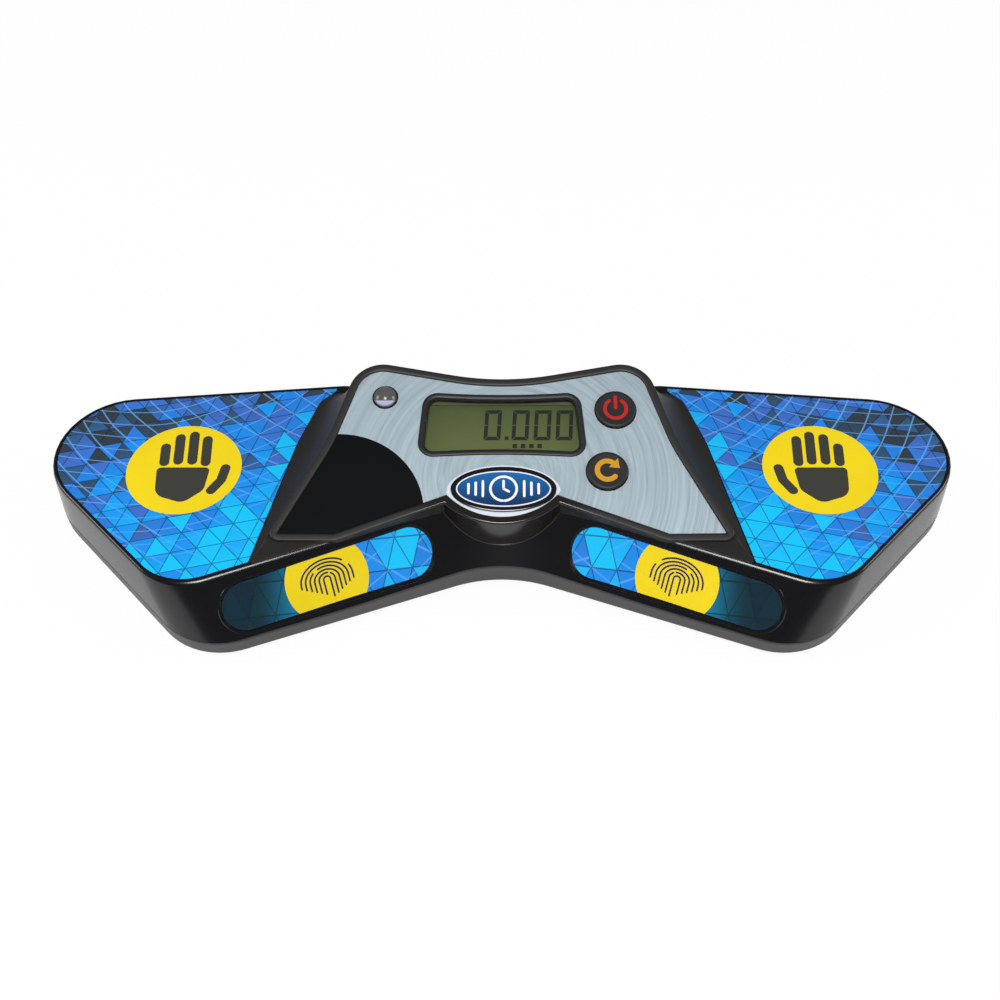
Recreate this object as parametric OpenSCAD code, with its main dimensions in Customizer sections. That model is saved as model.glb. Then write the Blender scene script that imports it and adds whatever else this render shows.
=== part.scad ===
// Two-hand cube timer: a winged touch-pad console with a tilted display deck.
// Millimetres, +Z up. The origin lies on the table under the middle of the
// footprint. +Y points away from the player, and the left half mirrors the right.

/* [Body] */
// Overall width across the two wings
body_w = 300; // [294:1:312]
// Height from the underside of the lower shell to the pad deck
body_h = 23; // [22:0.5:26]
// Height of the lower shell's band below the parting line
band_h = 5.5; // [5:0.25:7]
// Wall of the two shells, measured level
wall = 2.4; // [2:0.1:2.8]
// Distance that the front face runs forward below the rim
face_run = 14; // [12:0.5:16]
// Width of the bare rim round each hand pad
rim_w = 1.6; // [1.2:0.1:2.4]
// Height of the rubber feet under the lower shell
foot_h = 1.0; // [0.8:0.1:2]
// Radius of the rubber feet
foot_r = 5; // [4:0.25:6]

/* [Console] */
// Tilt of the display deck towards the player
tilt = 15; // [14:0.5:16]
// Height of the display deck's reference line above the pad deck
deck_rise = 1.8; // [1.6:0.1:2.4]
// Thickness of the console's top plate
plate_t = 2.2; // [2:0.1:2.6]
// Width of the rounded frame round the faceplate
frame_w = 2.3; // [2:0.1:2.6]
// Height of that frame above the plate
frame_rise = 1.0; // [0.8:0.1:1.4]
// Thickness of the metal-look faceplate
face_t = 0.5; // [0.3:0.1:0.6]
// Radius of the faceplate's front lobe
lobe_r = 24.7; // [24:0.1:25.5]
// Width of the display frame
lcd_w = 54; // [52:0.5:55]
// Height of the display frame along the deck
lcd_h = 23.1; // [22:0.1:23.6]
// Width of the display frame's border
lcd_border = 2.2; // [1.8:0.1:2.6]

/* [Controls] */
// Radius of the two push buttons
cap_r = 6.85; // [6.5:0.05:7.2]
// Height of the buttons above the plate
cap_rise = 1.6; // [1.2:0.1:2]
// Travel of the buttons
cap_travel = 0.8; // [0.5:0.1:0.9]
// Gap round a moving part
move_gap = 0.3; // [0.3:0.05:0.4]
// Radius of the status light's dome
dome_r = 4.2; // [3.8:0.1:4.6]

/* [Pads] */
// Thickness of the pad films
film_t = 0.6; // [0.4:0.1:0.8]
// Depth of the recess that holds a film
recess = 0.8; // [0.7:0.05:1]
// Radius of the sensing disc under each hand
hand_disc_r = 18.9; // [17:0.1:20]

/* [Battery] */
// Radius of an AAA cell
cell_r = 5.25; // [5:0.05:5.25]
// Length of an AAA cell
cell_l = 44.5; // [43.5:0.1:44.5]
// Thickness of the battery door
door_t = 1.8; // [1.6:0.1:2]
// Radius of the battery door's hinge pin
door_pin_r = 0.8; // [0.7:0.05:0.9]
// Radial running clearance of the hinge pin
pin_fit = 0.06; // [0.04:0.01:0.08]
// Radius of the data jack's bore
jack_r = 1.8; // [1.6:0.05:1.9]

/* [Hidden] */
$fn = 48;
eps = 0.01;
arc_steps = 8;

// Levels
base_z = foot_h;
split_z = base_z + band_h;
rim_z = base_z + body_h;
deck_t = recess + 2.4;
deck_z = rim_z - deck_t;
floor_t = 2;
floor_z = base_z + floor_t;

// Outlines, right half from the front middle: x, y, corner radius
arch_y = 0;
front_slope = 0.3665;
wing_reach = 28.7;
wing = [body_w / 2 + wing_reach, 40.6, 25];
shoulder = [54, 51.6, 15];
rear = [0, 42.5, 110];
deck_corner = [104, arch_y - 104 * front_slope, 20];
band_corner = [95.5, arch_y - face_run - 95.5 * front_slope, 24];
deck_right = [[0, arch_y, 12], deck_corner, wing, shoulder, rear];
band_right = [[0, arch_y - face_run, 12], band_corner, wing, shoulder, rear];
corner_facets = 5;
land = 0.15;

// Console foot on the deck, and the frame's outline on the tilted plane
foot_gap = 0.3;
foot_front = [76.6, -18.6, 2];
foot_side = [68.4, 24.5, 60];
foot_rear = [55.8, 50.4, 2];
foot_back = [0, 41.9, 110];
console_foot = [
  [0, arch_y + foot_gap, 12], [50, arch_y + foot_gap - 50 * front_slope, 4],
  foot_front, foot_side, foot_rear, foot_back
];
// Inner edge of the hand pads: the console's foot, run on to the front edge
apron_front = [78.5, arch_y - 78.5 * front_slope, 1];
pad_side = [[0, arch_y, 12], apron_front, foot_side, foot_rear, foot_back];
console_frame = [[0, 2.5, 12], [52.4, -16.8, 4], [75.3, -16.6, 3], [45.5, 47.1, 13], [0, 38.3, 90]];
side_slope = 57;
face_y = -10;
face_z = rim_z + deck_rise;
lobe_y = 25.7;
console_wall = 2.2;

// Places on the display deck: x and y along the deck from its reference line
dome_at = [-38.5, 44.2];
power_at = [37.5, 39.9];
reset_at = [34, 17.4];
lcd_at = [0, 34.1];
badge_at = [0.5, 10.9];
badge_size = [34, 15.7];
badge_t = 0.8;

// Display stack, measured down from the top of the plate
window_t = 1;
window_z = -1.6;
glass_t = 2.2;
glass_z = -plate_t - glass_t;
glass_over = 1.2;
board_top = -8;
board_t = 1.6;
board_z = board_top - board_t;
board_y = [6, 47];
board_half = 45;
board_posts = [[board_half - 4, 9], [board_half - 3, 29.5]];
post_r = 2.6;
board_screw_r = 0.9;
switch_w = 6;
switch_top = -5.3;
plunger_r = 1.7;
flange_t = 0.8;
flange_over = 1.2;
flange_z = -plate_t - move_gap - flange_t;
stem_r = 2.4;
stem_z = -4.2;

// Pads on the front face: middle and length along it, height up its slope
finger_at = [60, 0.8];
finger_l = 69;
finger_h = 16.6;
hand_disc_at = [104.7, 13.4];
electrode_t = 0.3;

// Battery bay
bay_y = 20.5;
bay_wall = 1.5;
cell_gap = 0.6;
contact_t = 0.4;
spring_l = 4.2;
bay_l = cell_l + spring_l + 2 * contact_t + 0.4;
bay_w = 4 * cell_r + 2 * cell_gap + 1.2;
cell_z = base_z + door_t + 0.35 + cell_r;
bay_top = cell_z + cell_r + 0.35;
door_l = bay_l + 2 * bay_wall + 2;
door_w = bay_w + 1.4;
knuckle_r = 1.1;
hinge_y = bay_y - door_w / 2 + knuckle_r + move_gap;
hinge_z = base_z + knuckle_r;
ear_l = 3;

// Fasteners, feet and jack
post_at = [[130, 30], [96, -20], [64, 42]];
foot_at = [[120, 16], [85, -27], [34, 41]];
shell_post_r = 3.4;
shell_screw_r = 1.3;
screw_head_r = 2.5;
screw_head_h = 1.6;
screw_fit = 0.06;
post_z = split_z + 1.6;
jack_at = [38, 14.5];
jack_nose_r = 3;
jack_body = [8, 11, 6];
lead_r = 0.7;

function unit(v) = v / norm(v);
function mix(a, b, t) = a + (b - a) * t;
// Points of one rounded corner at c between its neighbours p and n
function corner_arc(p, c, n, r) =
  let (u = unit(p - c), v = unit(n - c), h = acos(u * v) / 2)
  let (m = c + unit(u + v) * r / sin(h), a = c + u * r / tan(h) - m, b = c + v * r / tan(h) - m)
  let (a0 = atan2(a.y, a.x), turn = atan2(b.y, b.x) - a0)
  let (d = turn > 180 ? turn - 360 : turn < -180 ? turn + 360 : turn)
  [for (k = [0:arc_steps]) m + r * [cos(a0 + d * k / arc_steps), sin(a0 + d * k / arc_steps)]];
// Mirrors a right half onto the left, in one turn about the outline
function both_sides(c) =
  concat(c, [for (i = [len(c) - 2:-1:1]) [-c[i].x, c[i].y, c[i][2]]]);
function xy(c) = [c.x, c.y];
// Closed outline with rounded corners
function ring(corners) =
  let (n = len(corners))
  [for (i = [0:n - 1]) each
    corner_arc(xy(corners[(i + n - 1) % n]), xy(corners[i]), xy(corners[(i + 1) % n]), corners[i][2])];
// Moves each corner inwards, square to both of its edges
function drawn_in(corners, d) =
  let (n = len(corners))
  [for (i = [0:n - 1])
    let (c = corners[i], before = xy(corners[(i + n - 1) % n]), after = xy(corners[(i + 1) % n]))
    let (u = unit(before - xy(c)), v = unit(after - xy(c)), h = acos(u * v) / 2)
    let (side = cross(xy(c) - before, after - xy(c)) > 0 ? 1 : -1)
    let (at = xy(c) + unit(u + v) * side * d / sin(h))
    [at.x, at.y, max(c[2] - side * d, 0.4)]];
// Outline of a right half and its mirror image, d inside it
function outline(right, d = 0) = ring(drawn_in(both_sides(right), d));
// A point of the tilted deck in the body's own frame
function deck_point(x, y, z) =
  [x, face_y + y * cos(tilt) - z * sin(tilt), face_z + y * sin(tilt) + z * cos(tilt)];

band_ring = outline(band_right);
// The frame's outline in the tilted deck's own plane
frame_right = [for (c = console_frame) [c.x, (c.y - face_y) / cos(tilt), c[2]]];

// Middle of the footprint from front to rear
ys = [for (p = band_ring) p.y];
y_mid = (max(ys) + min(ys)) / 2;

// Middle of the circle that rounds corner c between p and n
function corner_mid(p, c, n) =
  let (u = unit(xy(p) - xy(c)), v = unit(xy(n) - xy(c)), h = acos(u * v) / 2)
  xy(c) + unit(u + v) * c[2] / sin(h);
deck_mid = corner_mid(deck_right[0], deck_corner, wing);
band_mid = corner_mid(band_right[0], band_corner, wing);
function heading(a) = [cos(a), sin(a)];
front_angle = -90 - atan(front_slope);
side_angle = -atan2(wing.x - band_corner.x, wing.y - band_corner.y);
// Reach of the leaning outer surface along a level heading, at deck and at band
function reach_top(a) = heading(a) * deck_mid + deck_corner[2];
function reach_low(a) = heading(a) * band_mid + band_corner[2];
face_angle = atan((rim_z - split_z) / (reach_low(front_angle) - reach_top(front_angle)));
function reach_at(a, z) =
  mix(reach_low(a), reach_top(a), (z - split_z) / (rim_z - split_z));

// Space outside a leaning plane: reach x0 at height z0, reach x1 at height z1
module outside(a, x0, z0, x1, z1) {
  far = 2 * body_w;
  lean = (x1 - x0) / (z1 - z0);
  rotate([0, 0, a]) rotate([90, 0, 0]) translate([0, 0, -far]) linear_extrude(2 * far)
    polygon([[x0 - lean * (z0 + 10), -10], [far, -10], [far, 80], [x0 + lean * (80 - z0), 80]]);
}
// Space in front of the leaning front face and its corners, d inside them
module beyond_front(d) {
  level = d / sin(face_angle);
  each_side() intersection() {
    union() for (k = [0:corner_facets - 1]) {
      a = mix(front_angle, side_angle, k / corner_facets);
      outside(a, reach_low(a) + land - level, split_z, reach_top(a) - level, rim_z);
    }
    translate([0, -body_w, -5]) cube([body_w, 2 * body_w, 90]);
  }
}
// Space beyond the console's leaning sides, d inside them
module beyond_console_sides(d) {
  a = atan2(foot_front.x - foot_rear.x, foot_rear.y - foot_front.y);
  x = heading(a) * xy(foot_front) - d / sin(side_slope);
  each_side() outside(a, x, rim_z, x - 1 / tan(side_slope), rim_z + 1);
}
// Space beyond the console's rear corners, d inside their leaning facets
module beyond_console_corners(d) {
  low = corner_mid(foot_side, foot_rear, foot_back);
  high = corner_mid(console_frame[2], console_frame[3], console_frame[4]);
  level = d / sin(side_slope);
  each_side() for (k = [1:corner_facets - 1]) {
    a = mix(18, 100, k / corner_facets);
    reach = heading(a) * high + console_frame[3][2];
    z = face_z + (high.y + console_frame[3][2] * sin(a) - face_y) * tan(tilt);
    outside(a, heading(a) * low + foot_rear[2] - level, rim_z, reach - level, z);
  }
}
// Space behind the console's rear wall, which stands square to the deck
module behind_console(d) {
  back = frame_right[4];
  corner = frame_right[3];
  far = [body_w / 2, corner.y + (body_w / 2 - corner.x) * (corner.y - back.y) / corner.x, 1];
  translate([0, face_y, face_z]) rotate([tilt, 0, 0]) translate([0, 0, -40]) linear_extrude(80)
    difference() {
      translate([-body_w / 2 + 1, 20]) square([body_w - 2, body_w]);
      polygon(outline([[0, -9, 1], [body_w / 2, 0, 1], far, back], d));
    }
}
// Space above the tilted deck, from height z
module above_deck(z) {
  translate([0, face_y, face_z]) rotate([tilt, 0, 0])
    translate([-body_w / 2, -body_w / 2, z]) cube(body_w);
}
// Local frame on the right front face: x outwards, y up the slope, z out
module on_front() {
  z = (split_z + rim_z) / 2;
  at = heading(front_angle) * reach_at(front_angle, z);
  translate([at.x, at.y, z]) rotate([0, 0, front_angle + 90]) rotate([face_angle, 0, 0]) children();
}
function front_point(x, y, d) =
  let (z = (split_z + rim_z) / 2, h = heading(front_angle), s = [-h.y, h.x])
  let (level = reach_at(front_angle, z) + d * sin(face_angle) - y * cos(face_angle))
  [h.x * level + s.x * x, h.y * level + s.y * x, z + d * cos(face_angle) + y * sin(face_angle)];

// Round lead swept along a list of points
module lead(pts, r, sides = 8) {
  last = len(pts) - 1;
  tangent = [for (i = [0:last]) unit(pts[min(i + 1, last)] - pts[max(i - 1, 0)])];
  hoop = [for (i = [0:last])
    let (side = unit(cross(tangent[i], [0.13, 0.31, 0.94])), up = cross(tangent[i], side))
    each [for (k = [0:sides - 1])
      pts[i] + r * (cos(360 * k / sides) * side + sin(360 * k / sides) * up)]];
  polyhedron(
    points = hoop,
    faces = concat(
      [[for (k = [0:sides - 1]) k]],
      [for (i = [0:last - 1]) for (k = [0:sides - 1])
        [(i + 1) * sides + k, i * sides + (k + 1) % sides, i * sides + k]],
      [for (i = [0:last - 1]) for (k = [0:sides - 1])
        [(i + 1) * sides + k, (i + 1) * sides + (k + 1) % sides, i * sides + (k + 1) % sides]],
      [[for (k = [sides - 1:-1:0]) last * sides + k]]));
}

module rounded(w, h, r) {
  square([w - 2 * r, h], center = true);
  square([w, h - 2 * r], center = true);
  for (x = [-1, 1]) for (y = [-1, 1])
    translate([x * (w / 2 - r), y * (h / 2 - r)]) circle(r);
}
module slab(w, h, r, z, t) {
  translate([0, 0, z]) linear_extrude(t) rounded(w, h, r);
}
module rod(at, r, z, h) {
  translate([at.x, at.y, z]) cylinder(r = r, h = h);
}
module block(low, high) {
  translate(low) cube(high - low);
}
module place() {
  translate([0, -y_mid, 0]) children();
}
module on_face() {
  place() translate([0, face_y, face_z]) rotate([tilt, 0, 0]) children();
}
module each_side() {
  children();
  mirror([1, 0, 0]) children();
}

module sheet(points, z0, z1) {
  translate([0, 0, z0]) linear_extrude(z1 - z0) polygon(points);
}
module shell_outer() {
  difference() {
    sheet(band_ring, split_z, rim_z);
    beyond_front(0);
  }
}
// Outline of a hand pad's film, d smaller all round
module pad_outline(d) {
  intersection() {
    difference() {
      polygon(outline(deck_right, rim_w + d));
      polygon(outline(pad_side, -0.4 - d));
    }
    translate([foot_rear.x - 8, -body_w / 2]) square(body_w);
  }
}

module bottom_shell() {
  wall_in = wall + 1.4;
  lip_h = 1.4;
  color("#2f2d2c") place() difference() {
    union() {
      difference() {
        union() {
          sheet(outline(band_right, 0.7), base_z, base_z + 0.9);
          sheet(band_ring, base_z + 0.8, split_z);
          // Lip that stands up inside the upper shell
          difference() {
            sheet(outline(band_right, wall + 0.2), split_z - 0.5, split_z + lip_h);
            beyond_front(wall * sin(face_angle) + 0.2);
          }
        }
        sheet(outline(band_right, wall_in), floor_z, split_z + lip_h + 1);
      }
      each_side() for (p = post_at) rod(p, shell_post_r, base_z + 0.5, post_z - base_z - 0.5);
      // Battery bay with its roof and hinge ears
      block([-bay_l / 2 - bay_wall, bay_y - bay_w / 2 - bay_wall, base_z + door_t + 0.1],
            [bay_l / 2 + bay_wall, bay_y + bay_w / 2 + bay_wall, bay_top + bay_wall]);
      block([-door_l / 2 - ear_l, hinge_y - 2.2, base_z + 0.5],
            [door_l / 2 + ear_l, hinge_y + 2.2, floor_z + 1.4]);
    }
    block([-bay_l / 2, bay_y - bay_w / 2, 0], [bay_l / 2, bay_y + bay_w / 2, bay_top]);
    block([-door_l / 2, bay_y - door_w / 2, 0],
          [door_l / 2, bay_y + door_w / 2, base_z + door_t + 0.1]);
    // Hinge trough and its bearings
    block([-door_l / 2, bay_y - door_w / 2, 0],
          [door_l / 2, hinge_y + knuckle_r + 0.2, hinge_z + knuckle_r + move_gap]);
    translate([-door_l / 2 - 2, hinge_y, hinge_z]) rotate([0, 90, 0])
      cylinder(r = door_pin_r + pin_fit, h = door_l + 4);
    // Lead holes in the bay's end walls
    translate([-bay_l, bay_y + 5, bay_top - 2]) rotate([0, 90, 0])
      cylinder(r = lead_r + 0.4, h = 2 * bay_l);
    each_side() for (p = post_at) {
      rod(p, shell_screw_r + 0.25, 0, post_z + 1);
      rod(p, screw_head_r + 0.3, 0, base_z + 1 + screw_head_h);
    }
    each_side() for (p = foot_at) rod(p, foot_r + 0.1, 0, base_z + 0.5);
  }
}

module top_shell() {
  color("#0c0c0e") place() difference() {
    union() {
      difference() {
        shell_outer();
        difference() {
          sheet(outline(band_right, wall), split_z - 1, deck_z);
          beyond_front(wall * sin(face_angle));
        }
      }
      each_side() for (p = post_at) rod(p, shell_post_r, post_z, deck_z - post_z + eps);
    }
    sheet(outline(console_foot, 3.6), deck_z - 1, rim_z + 1);
    each_side() {
      translate([0, 0, rim_z - recess]) linear_extrude(recess + 1) pad_outline(-0.15);
      on_front() translate([finger_at.x, finger_at.y, -recess]) linear_extrude(recess + 2)
        stadium(finger_l + 0.3, finger_h + 0.3);
      for (p = post_at) rod(p, shell_screw_r + screw_fit, post_z - 1, 9);
    }
    translate([jack_at.x, jack_at.y + 20, jack_at.y]) rotate([-90, 0, 0])
      cylinder(r = jack_nose_r + 0.2, h = 40);
  }
}
module stadium(l, h) {
  square([l - h, h], center = true);
  for (s = [-1, 1]) translate([s * (l - h) / 2, 0]) circle(h / 2);
}

module console_bezel() {
  color("#2b2826") difference() {
    union() {
      place() difference() {
        sheet(outline(console_foot), rim_z, rim_z + 20);
        above_deck(0.3);
        beyond_console_sides(0);
        beyond_console_corners(0);
        behind_console(0);
        beyond_front(-1.2);
      }
      difference() {
        on_face() translate([0, 0, -plate_t + 0.2]) linear_extrude(plate_t + frame_rise - 0.2)
          polygon(outline(frame_right));
        place() block([-body_w, -body_w, 0], [body_w, body_w, rim_z]);
      }
      // Front lobe with its skirt down to the front face
      difference() {
        on_face() difference() {
          rod([0, lobe_y], lobe_r + frame_w, -18, 18 + frame_rise);
          block([-40, lobe_y - 4, -30], [40, lobe_y + 40, 10]);
        }
        place() shell_outer();
        place() block([-40, arch_y + 2, 0], [40, 60, rim_z]);
      }
    }
    // Space inside the console
    place() difference() {
      sheet(outline(console_foot, console_wall), rim_z - 1, rim_z + 20);
      above_deck(-plate_t);
      beyond_console_sides(console_wall);
      beyond_console_corners(console_wall);
      behind_console(console_wall);
      beyond_front(console_wall - 1.2);
    }
    on_face() {
      linear_extrude(5) union() {
        polygon(outline(frame_right, frame_w));
        translate([0, lobe_y]) circle(lobe_r);
      }
      translate(lcd_at) slab(lcd_w + 0.2, lcd_h + 0.2, 3.3, -plate_t - 1, plate_t + 2);
      rod(power_at, cap_r + move_gap, -plate_t - 1, plate_t + 2);
      rod(reset_at, cap_r + move_gap, -plate_t - 1, plate_t + 2);
      rod(dome_at, dome_r + 0.1, -plate_t - 1, plate_t + 2);
    }
  }
  // Posts that carry the circuit board
  color("#2b2826") on_face() each_side() for (p = board_posts) difference() {
    rod(p, post_r, board_top, -board_top - plate_t + 0.5);
    rod(p, board_screw_r + screw_fit, board_top - 1, 5.6);
  }
}

module faceplate() {
  color("#a9bbc4") on_face() difference() {
    linear_extrude(face_t) union() {
      polygon(outline(frame_right, frame_w + 0.1));
      translate([0, lobe_y]) circle(lobe_r - 0.1);
    }
    translate(lcd_at) slab(lcd_w + 0.2, lcd_h + 0.2, 3.3, -1, 3);
    rod(power_at, cap_r + move_gap, -1, 3);
    rod(reset_at, cap_r + move_gap, -1, 3);
    rod(dome_at, dome_r + 0.1, -1, 3);
  }
}

module badge_plate() {
  points = 72;
  color("#12294f") on_face() translate([badge_at.x, badge_at.y, face_t]) linear_extrude(badge_t)
    polygon([for (k = [0:points - 1])
      [badge_size.x / 2 * cos(360 * k / points), badge_size.y / 2 * sin(360 * k / points)]]);
}

module lcd_frame() {
  inner_w = lcd_w - 2 * lcd_border;
  inner_h = lcd_h - 2 * lcd_border;
  color("#151515") on_face() translate(lcd_at) difference() {
    slab(lcd_w, lcd_h, 3.2, -plate_t, plate_t + frame_rise);
    slab(inner_w, inner_h, 1.6, -plate_t - 1, plate_t + 3);
    slab(inner_w + 1, inner_h + 1, 2, -plate_t - 1, window_z + window_t + plate_t + 1);
  }
}

module lcd_window() {
  color("#dfe6e2", 0.3) on_face() translate(lcd_at)
    slab(lcd_w - 2 * lcd_border + 0.9, lcd_h - 2 * lcd_border + 0.9, 1.95, window_z, window_t);
}

module lcd_glass() {
  color("#66774a") on_face() translate([lcd_at.x, lcd_at.y, glass_z])
    linear_extrude(glass_t) square([lcd_w - glass_over, lcd_h - glass_over], center = true);
}

module lcd_reflector() {
  color("#c9ccb6") on_face() translate([lcd_at.x, lcd_at.y, glass_z - 0.4])
    linear_extrude(0.4) square([lcd_w - 6, lcd_h - 8], center = true);
}

module zebra_strips() {
  color("#3a3a3a") on_face() for (s = [-1, 1])
    translate([lcd_at.x, lcd_at.y + s * (lcd_h / 2 - 2.4), board_top])
      linear_extrude(glass_z - board_top) square([lcd_w - 6, 2], center = true);
}

module main_board() {
  color("#1f6b3a") on_face() difference() {
    block([-board_half, board_y[0], board_z], [board_half, board_y[1], board_top]);
    each_side() for (p = board_posts) rod(p, board_screw_r + 0.2, board_z - 1, board_t + 2);
  }
}

module controller_chip() {
  pins = 9;
  color("#202022") on_face() {
    block([-5, 28, board_top + 0.2], [5, 38, board_top + 1.4]);
    for (k = [0:pins - 1]) block([-6.2, 28.6 + k, board_top], [6.2, 29 + k, board_top + 0.5]);
  }
}

module board_parts() {
  color("#b08d57") on_face() {
    rod([-16, 13], 2.5, board_top, 5);
    block([10, 12, board_top], [18, 14.6, board_top + 2.4]);
    for (k = [0:5]) block([-34 + 3 * k, 18, board_top], [-32.4 + 3 * k, 18.9, board_top + 0.6]);
  }
}

module status_dome() {
  ball_r = 4.6;
  color("#26282a") on_face() translate(dome_at) {
    rod([0, 0], dome_r, -plate_t - 0.8, plate_t + 0.8 + face_t);
    rod([0, 0], dome_r + 1, -plate_t - 0.8, 0.8);
    intersection() {
      translate([0, 0, face_t + 2.4 - ball_r]) sphere(r = ball_r, $fn = 64);
      rod([0, 0], dome_r, 0, 6);
    }
  }
}

module status_leds() {
  color("#d8f0c0") on_face() for (s = [-1, 1])
    translate([dome_at.x + 1.6 * s, dome_at.y, board_top])
      linear_extrude(1.4) square([2, 1.6], center = true);
}

module button(at) {
  color("#1c1b1a") on_face() {
    rod(at, cap_r, flange_z, cap_rise - flange_z - 0.4);
    rod(at, cap_r - 0.4, 0, cap_rise);
    rod(at, cap_r + flange_over, flange_z, flange_t);
    rod(at, stem_r, stem_z, flange_z - stem_z + eps);
  }
}
module plunger(at) {
  color("#8a8f92") on_face() rod(at, plunger_r, stem_z - 1.8, 1.8);
}
module switch_body(at) {
  color("#303236") on_face() difference() {
    block([at.x - switch_w / 2, at.y - switch_w / 2, board_top],
          [at.x + switch_w / 2, at.y + switch_w / 2, switch_top]);
    rod(at, plunger_r + move_gap, board_top + 0.6, 5);
  }
}
module power_button() { button(power_at); }
module power_plunger() { plunger(power_at); }
module power_switch() { switch_body(power_at); }
module reset_button() { button(reset_at); }
module reset_plunger() { plunger(reset_at); }
module reset_switch() { switch_body(reset_at); }

module hand_pad_right() {
  color("#1696e6") place() translate([0, 0, rim_z - recess])
    linear_extrude(film_t) pad_outline(0);
}
module hand_pad_left() { mirror([1, 0, 0]) hand_pad_right(); }

module finger_pad_right() {
  color("#1696e6") place() on_front() translate([finger_at.x, finger_at.y, -recess])
    linear_extrude(film_t) stadium(finger_l, finger_h);
}
module finger_pad_left() { mirror([1, 0, 0]) finger_pad_right(); }

module hand_electrode_right() {
  color("#c8a15a") place() rod(hand_disc_at, hand_disc_r, deck_z - electrode_t, electrode_t);
}
module hand_electrode_left() { mirror([1, 0, 0]) hand_electrode_right(); }

module finger_electrode_right() {
  color("#c8a15a") place() on_front()
    translate([finger_at.x, finger_at.y, -wall * sin(face_angle) - electrode_t])
      linear_extrude(electrode_t) stadium(44, 11);
}
module finger_electrode_left() { mirror([1, 0, 0]) finger_electrode_right(); }

module sensor_leads() {
  hand_from = deck_point(board_half - 4, 17, board_z - lead_r);
  finger_from = deck_point(30, 9, board_z - lead_r);
  disc_low = deck_z - electrode_t - lead_r - 0.05;
  near_strip = wall * sin(face_angle) + electrode_t + lead_r + 0.05;
  color("#b23b2e") place() each_side() {
    lead([hand_from, hand_from + [6, 0.4, -0.8], [60, 10, disc_low - 1.2], [78, 12.5, disc_low - 0.6],
          [hand_disc_at.x - 14, hand_disc_at.y, disc_low],
          [hand_disc_at.x - 8, hand_disc_at.y, disc_low]], lead_r);
    lead([finger_from, finger_from + [2, -3, -1.2], front_point(42, 2, -near_strip - 3),
          front_point(46, 1, -near_strip), front_point(52, 1, -near_strip)], lead_r);
  }
}

module data_jack() {
  edge = rear_edge(jack_at.x);
  color("#1a1a1a") place() difference() {
    union() {
      block([jack_at.x - jack_body.x / 2, edge - wall - 0.4 - jack_body.y, jack_at.y - jack_body.z / 2],
            [jack_at.x + jack_body.x / 2, edge - wall - 0.8, jack_at.y + jack_body.z / 2]);
      translate([jack_at.x, edge - wall - 1, jack_at.y]) rotate([-90, 0, 0])
        cylinder(r = jack_nose_r, h = wall + 0.8);
    }
    translate([jack_at.x, edge - wall - jack_body.y + 1, jack_at.y]) rotate([-90, 0, 0])
      cylinder(r = jack_r, h = jack_body.y + wall + 2);
  }
}
// Rear edge of the shell at level x
function rear_edge(x) =
  let (n = arc_steps + 1)
  lookup(x, [for (i = [5 * n - 1:-1:3 * n]) [band_ring[i].x, band_ring[i].y]]);

module battery_door() {
  knuckle_l = 6;
  color("#2f2d2c") place() difference() {
    union() {
      block([-door_l / 2 + move_gap, hinge_y, base_z],
            [door_l / 2 - move_gap, bay_y + door_w / 2 - move_gap, base_z + door_t]);
      for (s = [-1, 1]) translate([s * (door_l / 2 - move_gap - knuckle_l / 2), hinge_y, hinge_z])
        rotate([0, 90, 0]) cylinder(r = knuckle_r, h = knuckle_l, center = true);
      translate([-door_l / 2 - 1.6, hinge_y, hinge_z]) rotate([0, 90, 0])
        cylinder(r = door_pin_r, h = door_l + 3.2);
    }
    // Thumb notch at the free edge
    block([-5, bay_y + door_w / 2 - 2.4, 0], [5, bay_y + door_w / 2 + 1, base_z + 0.7]);
    block([-door_l / 2 + move_gap + knuckle_l, hinge_y - 2, 0],
          [door_l / 2 - move_gap - knuckle_l, hinge_y + 0.1, floor_z + 2]);
  }
}

module cell(dy, flip) {
  button_h = 1;
  color("#c9a227") place() translate([flip * spring_l / 2, bay_y + dy, cell_z])
    rotate([0, flip * 90, 0]) {
      translate([0, 0, -cell_l / 2]) cylinder(r = cell_r, h = cell_l - button_h);
      translate([0, 0, cell_l / 2 - button_h - eps]) cylinder(r = 1.9, h = button_h);
    }
}
cell_dy = cell_r + cell_gap / 2 + 0.1;
module battery_cell_front() { cell(-cell_dy, 1); }
module battery_cell_rear() { cell(cell_dy, -1); }

// Coil spring that presses on a cell's flat end, seen along its own axis
module contact_spring(l) {
  turns = 4;
  rings = 8 * turns;
  lead([for (k = [0:rings])
    let (r = mix(3.6, 2.2, k / rings), a = 360 * turns * k / rings)
    [r * cos(a), r * sin(a), 0.25 + (l - 0.5) * k / rings]], 0.2, 6);
}
module battery_spring_contacts() {
  color("#c7c9cb") place() for (s = [-1, 1])
    translate([s * bay_l / 2, bay_y + s * cell_dy, cell_z]) rotate([0, -s * 90, 0]) {
      translate([-3.8, -4.4, 0]) cube([8.2, 8.8, contact_t]);
      translate([0, 0, contact_t]) contact_spring(spring_l - 0.1);
    }
}
module battery_plate_contacts() {
  color("#c7c9cb") place() for (s = [-1, 1])
    translate([s * bay_l / 2, bay_y - s * cell_dy, cell_z]) rotate([0, -s * 90, 0])
      translate([-3.8, -4.4, 0]) cube([8.2, 8.8, contact_t]);
}

module battery_leads() {
  from = [bay_l / 2 - contact_t, bay_y + 5, bay_top - 2];
  up = deck_point(33, 27, board_z - lead_r);
  color("#b23b2e") place() each_side()
    lead([from + [contact_t, 0, 0], from + [2.5, 0, 0.1], from + [4.5, -0.5, 1.6],
          up + [-1, 0, -3], up], lead_r);
}

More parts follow.
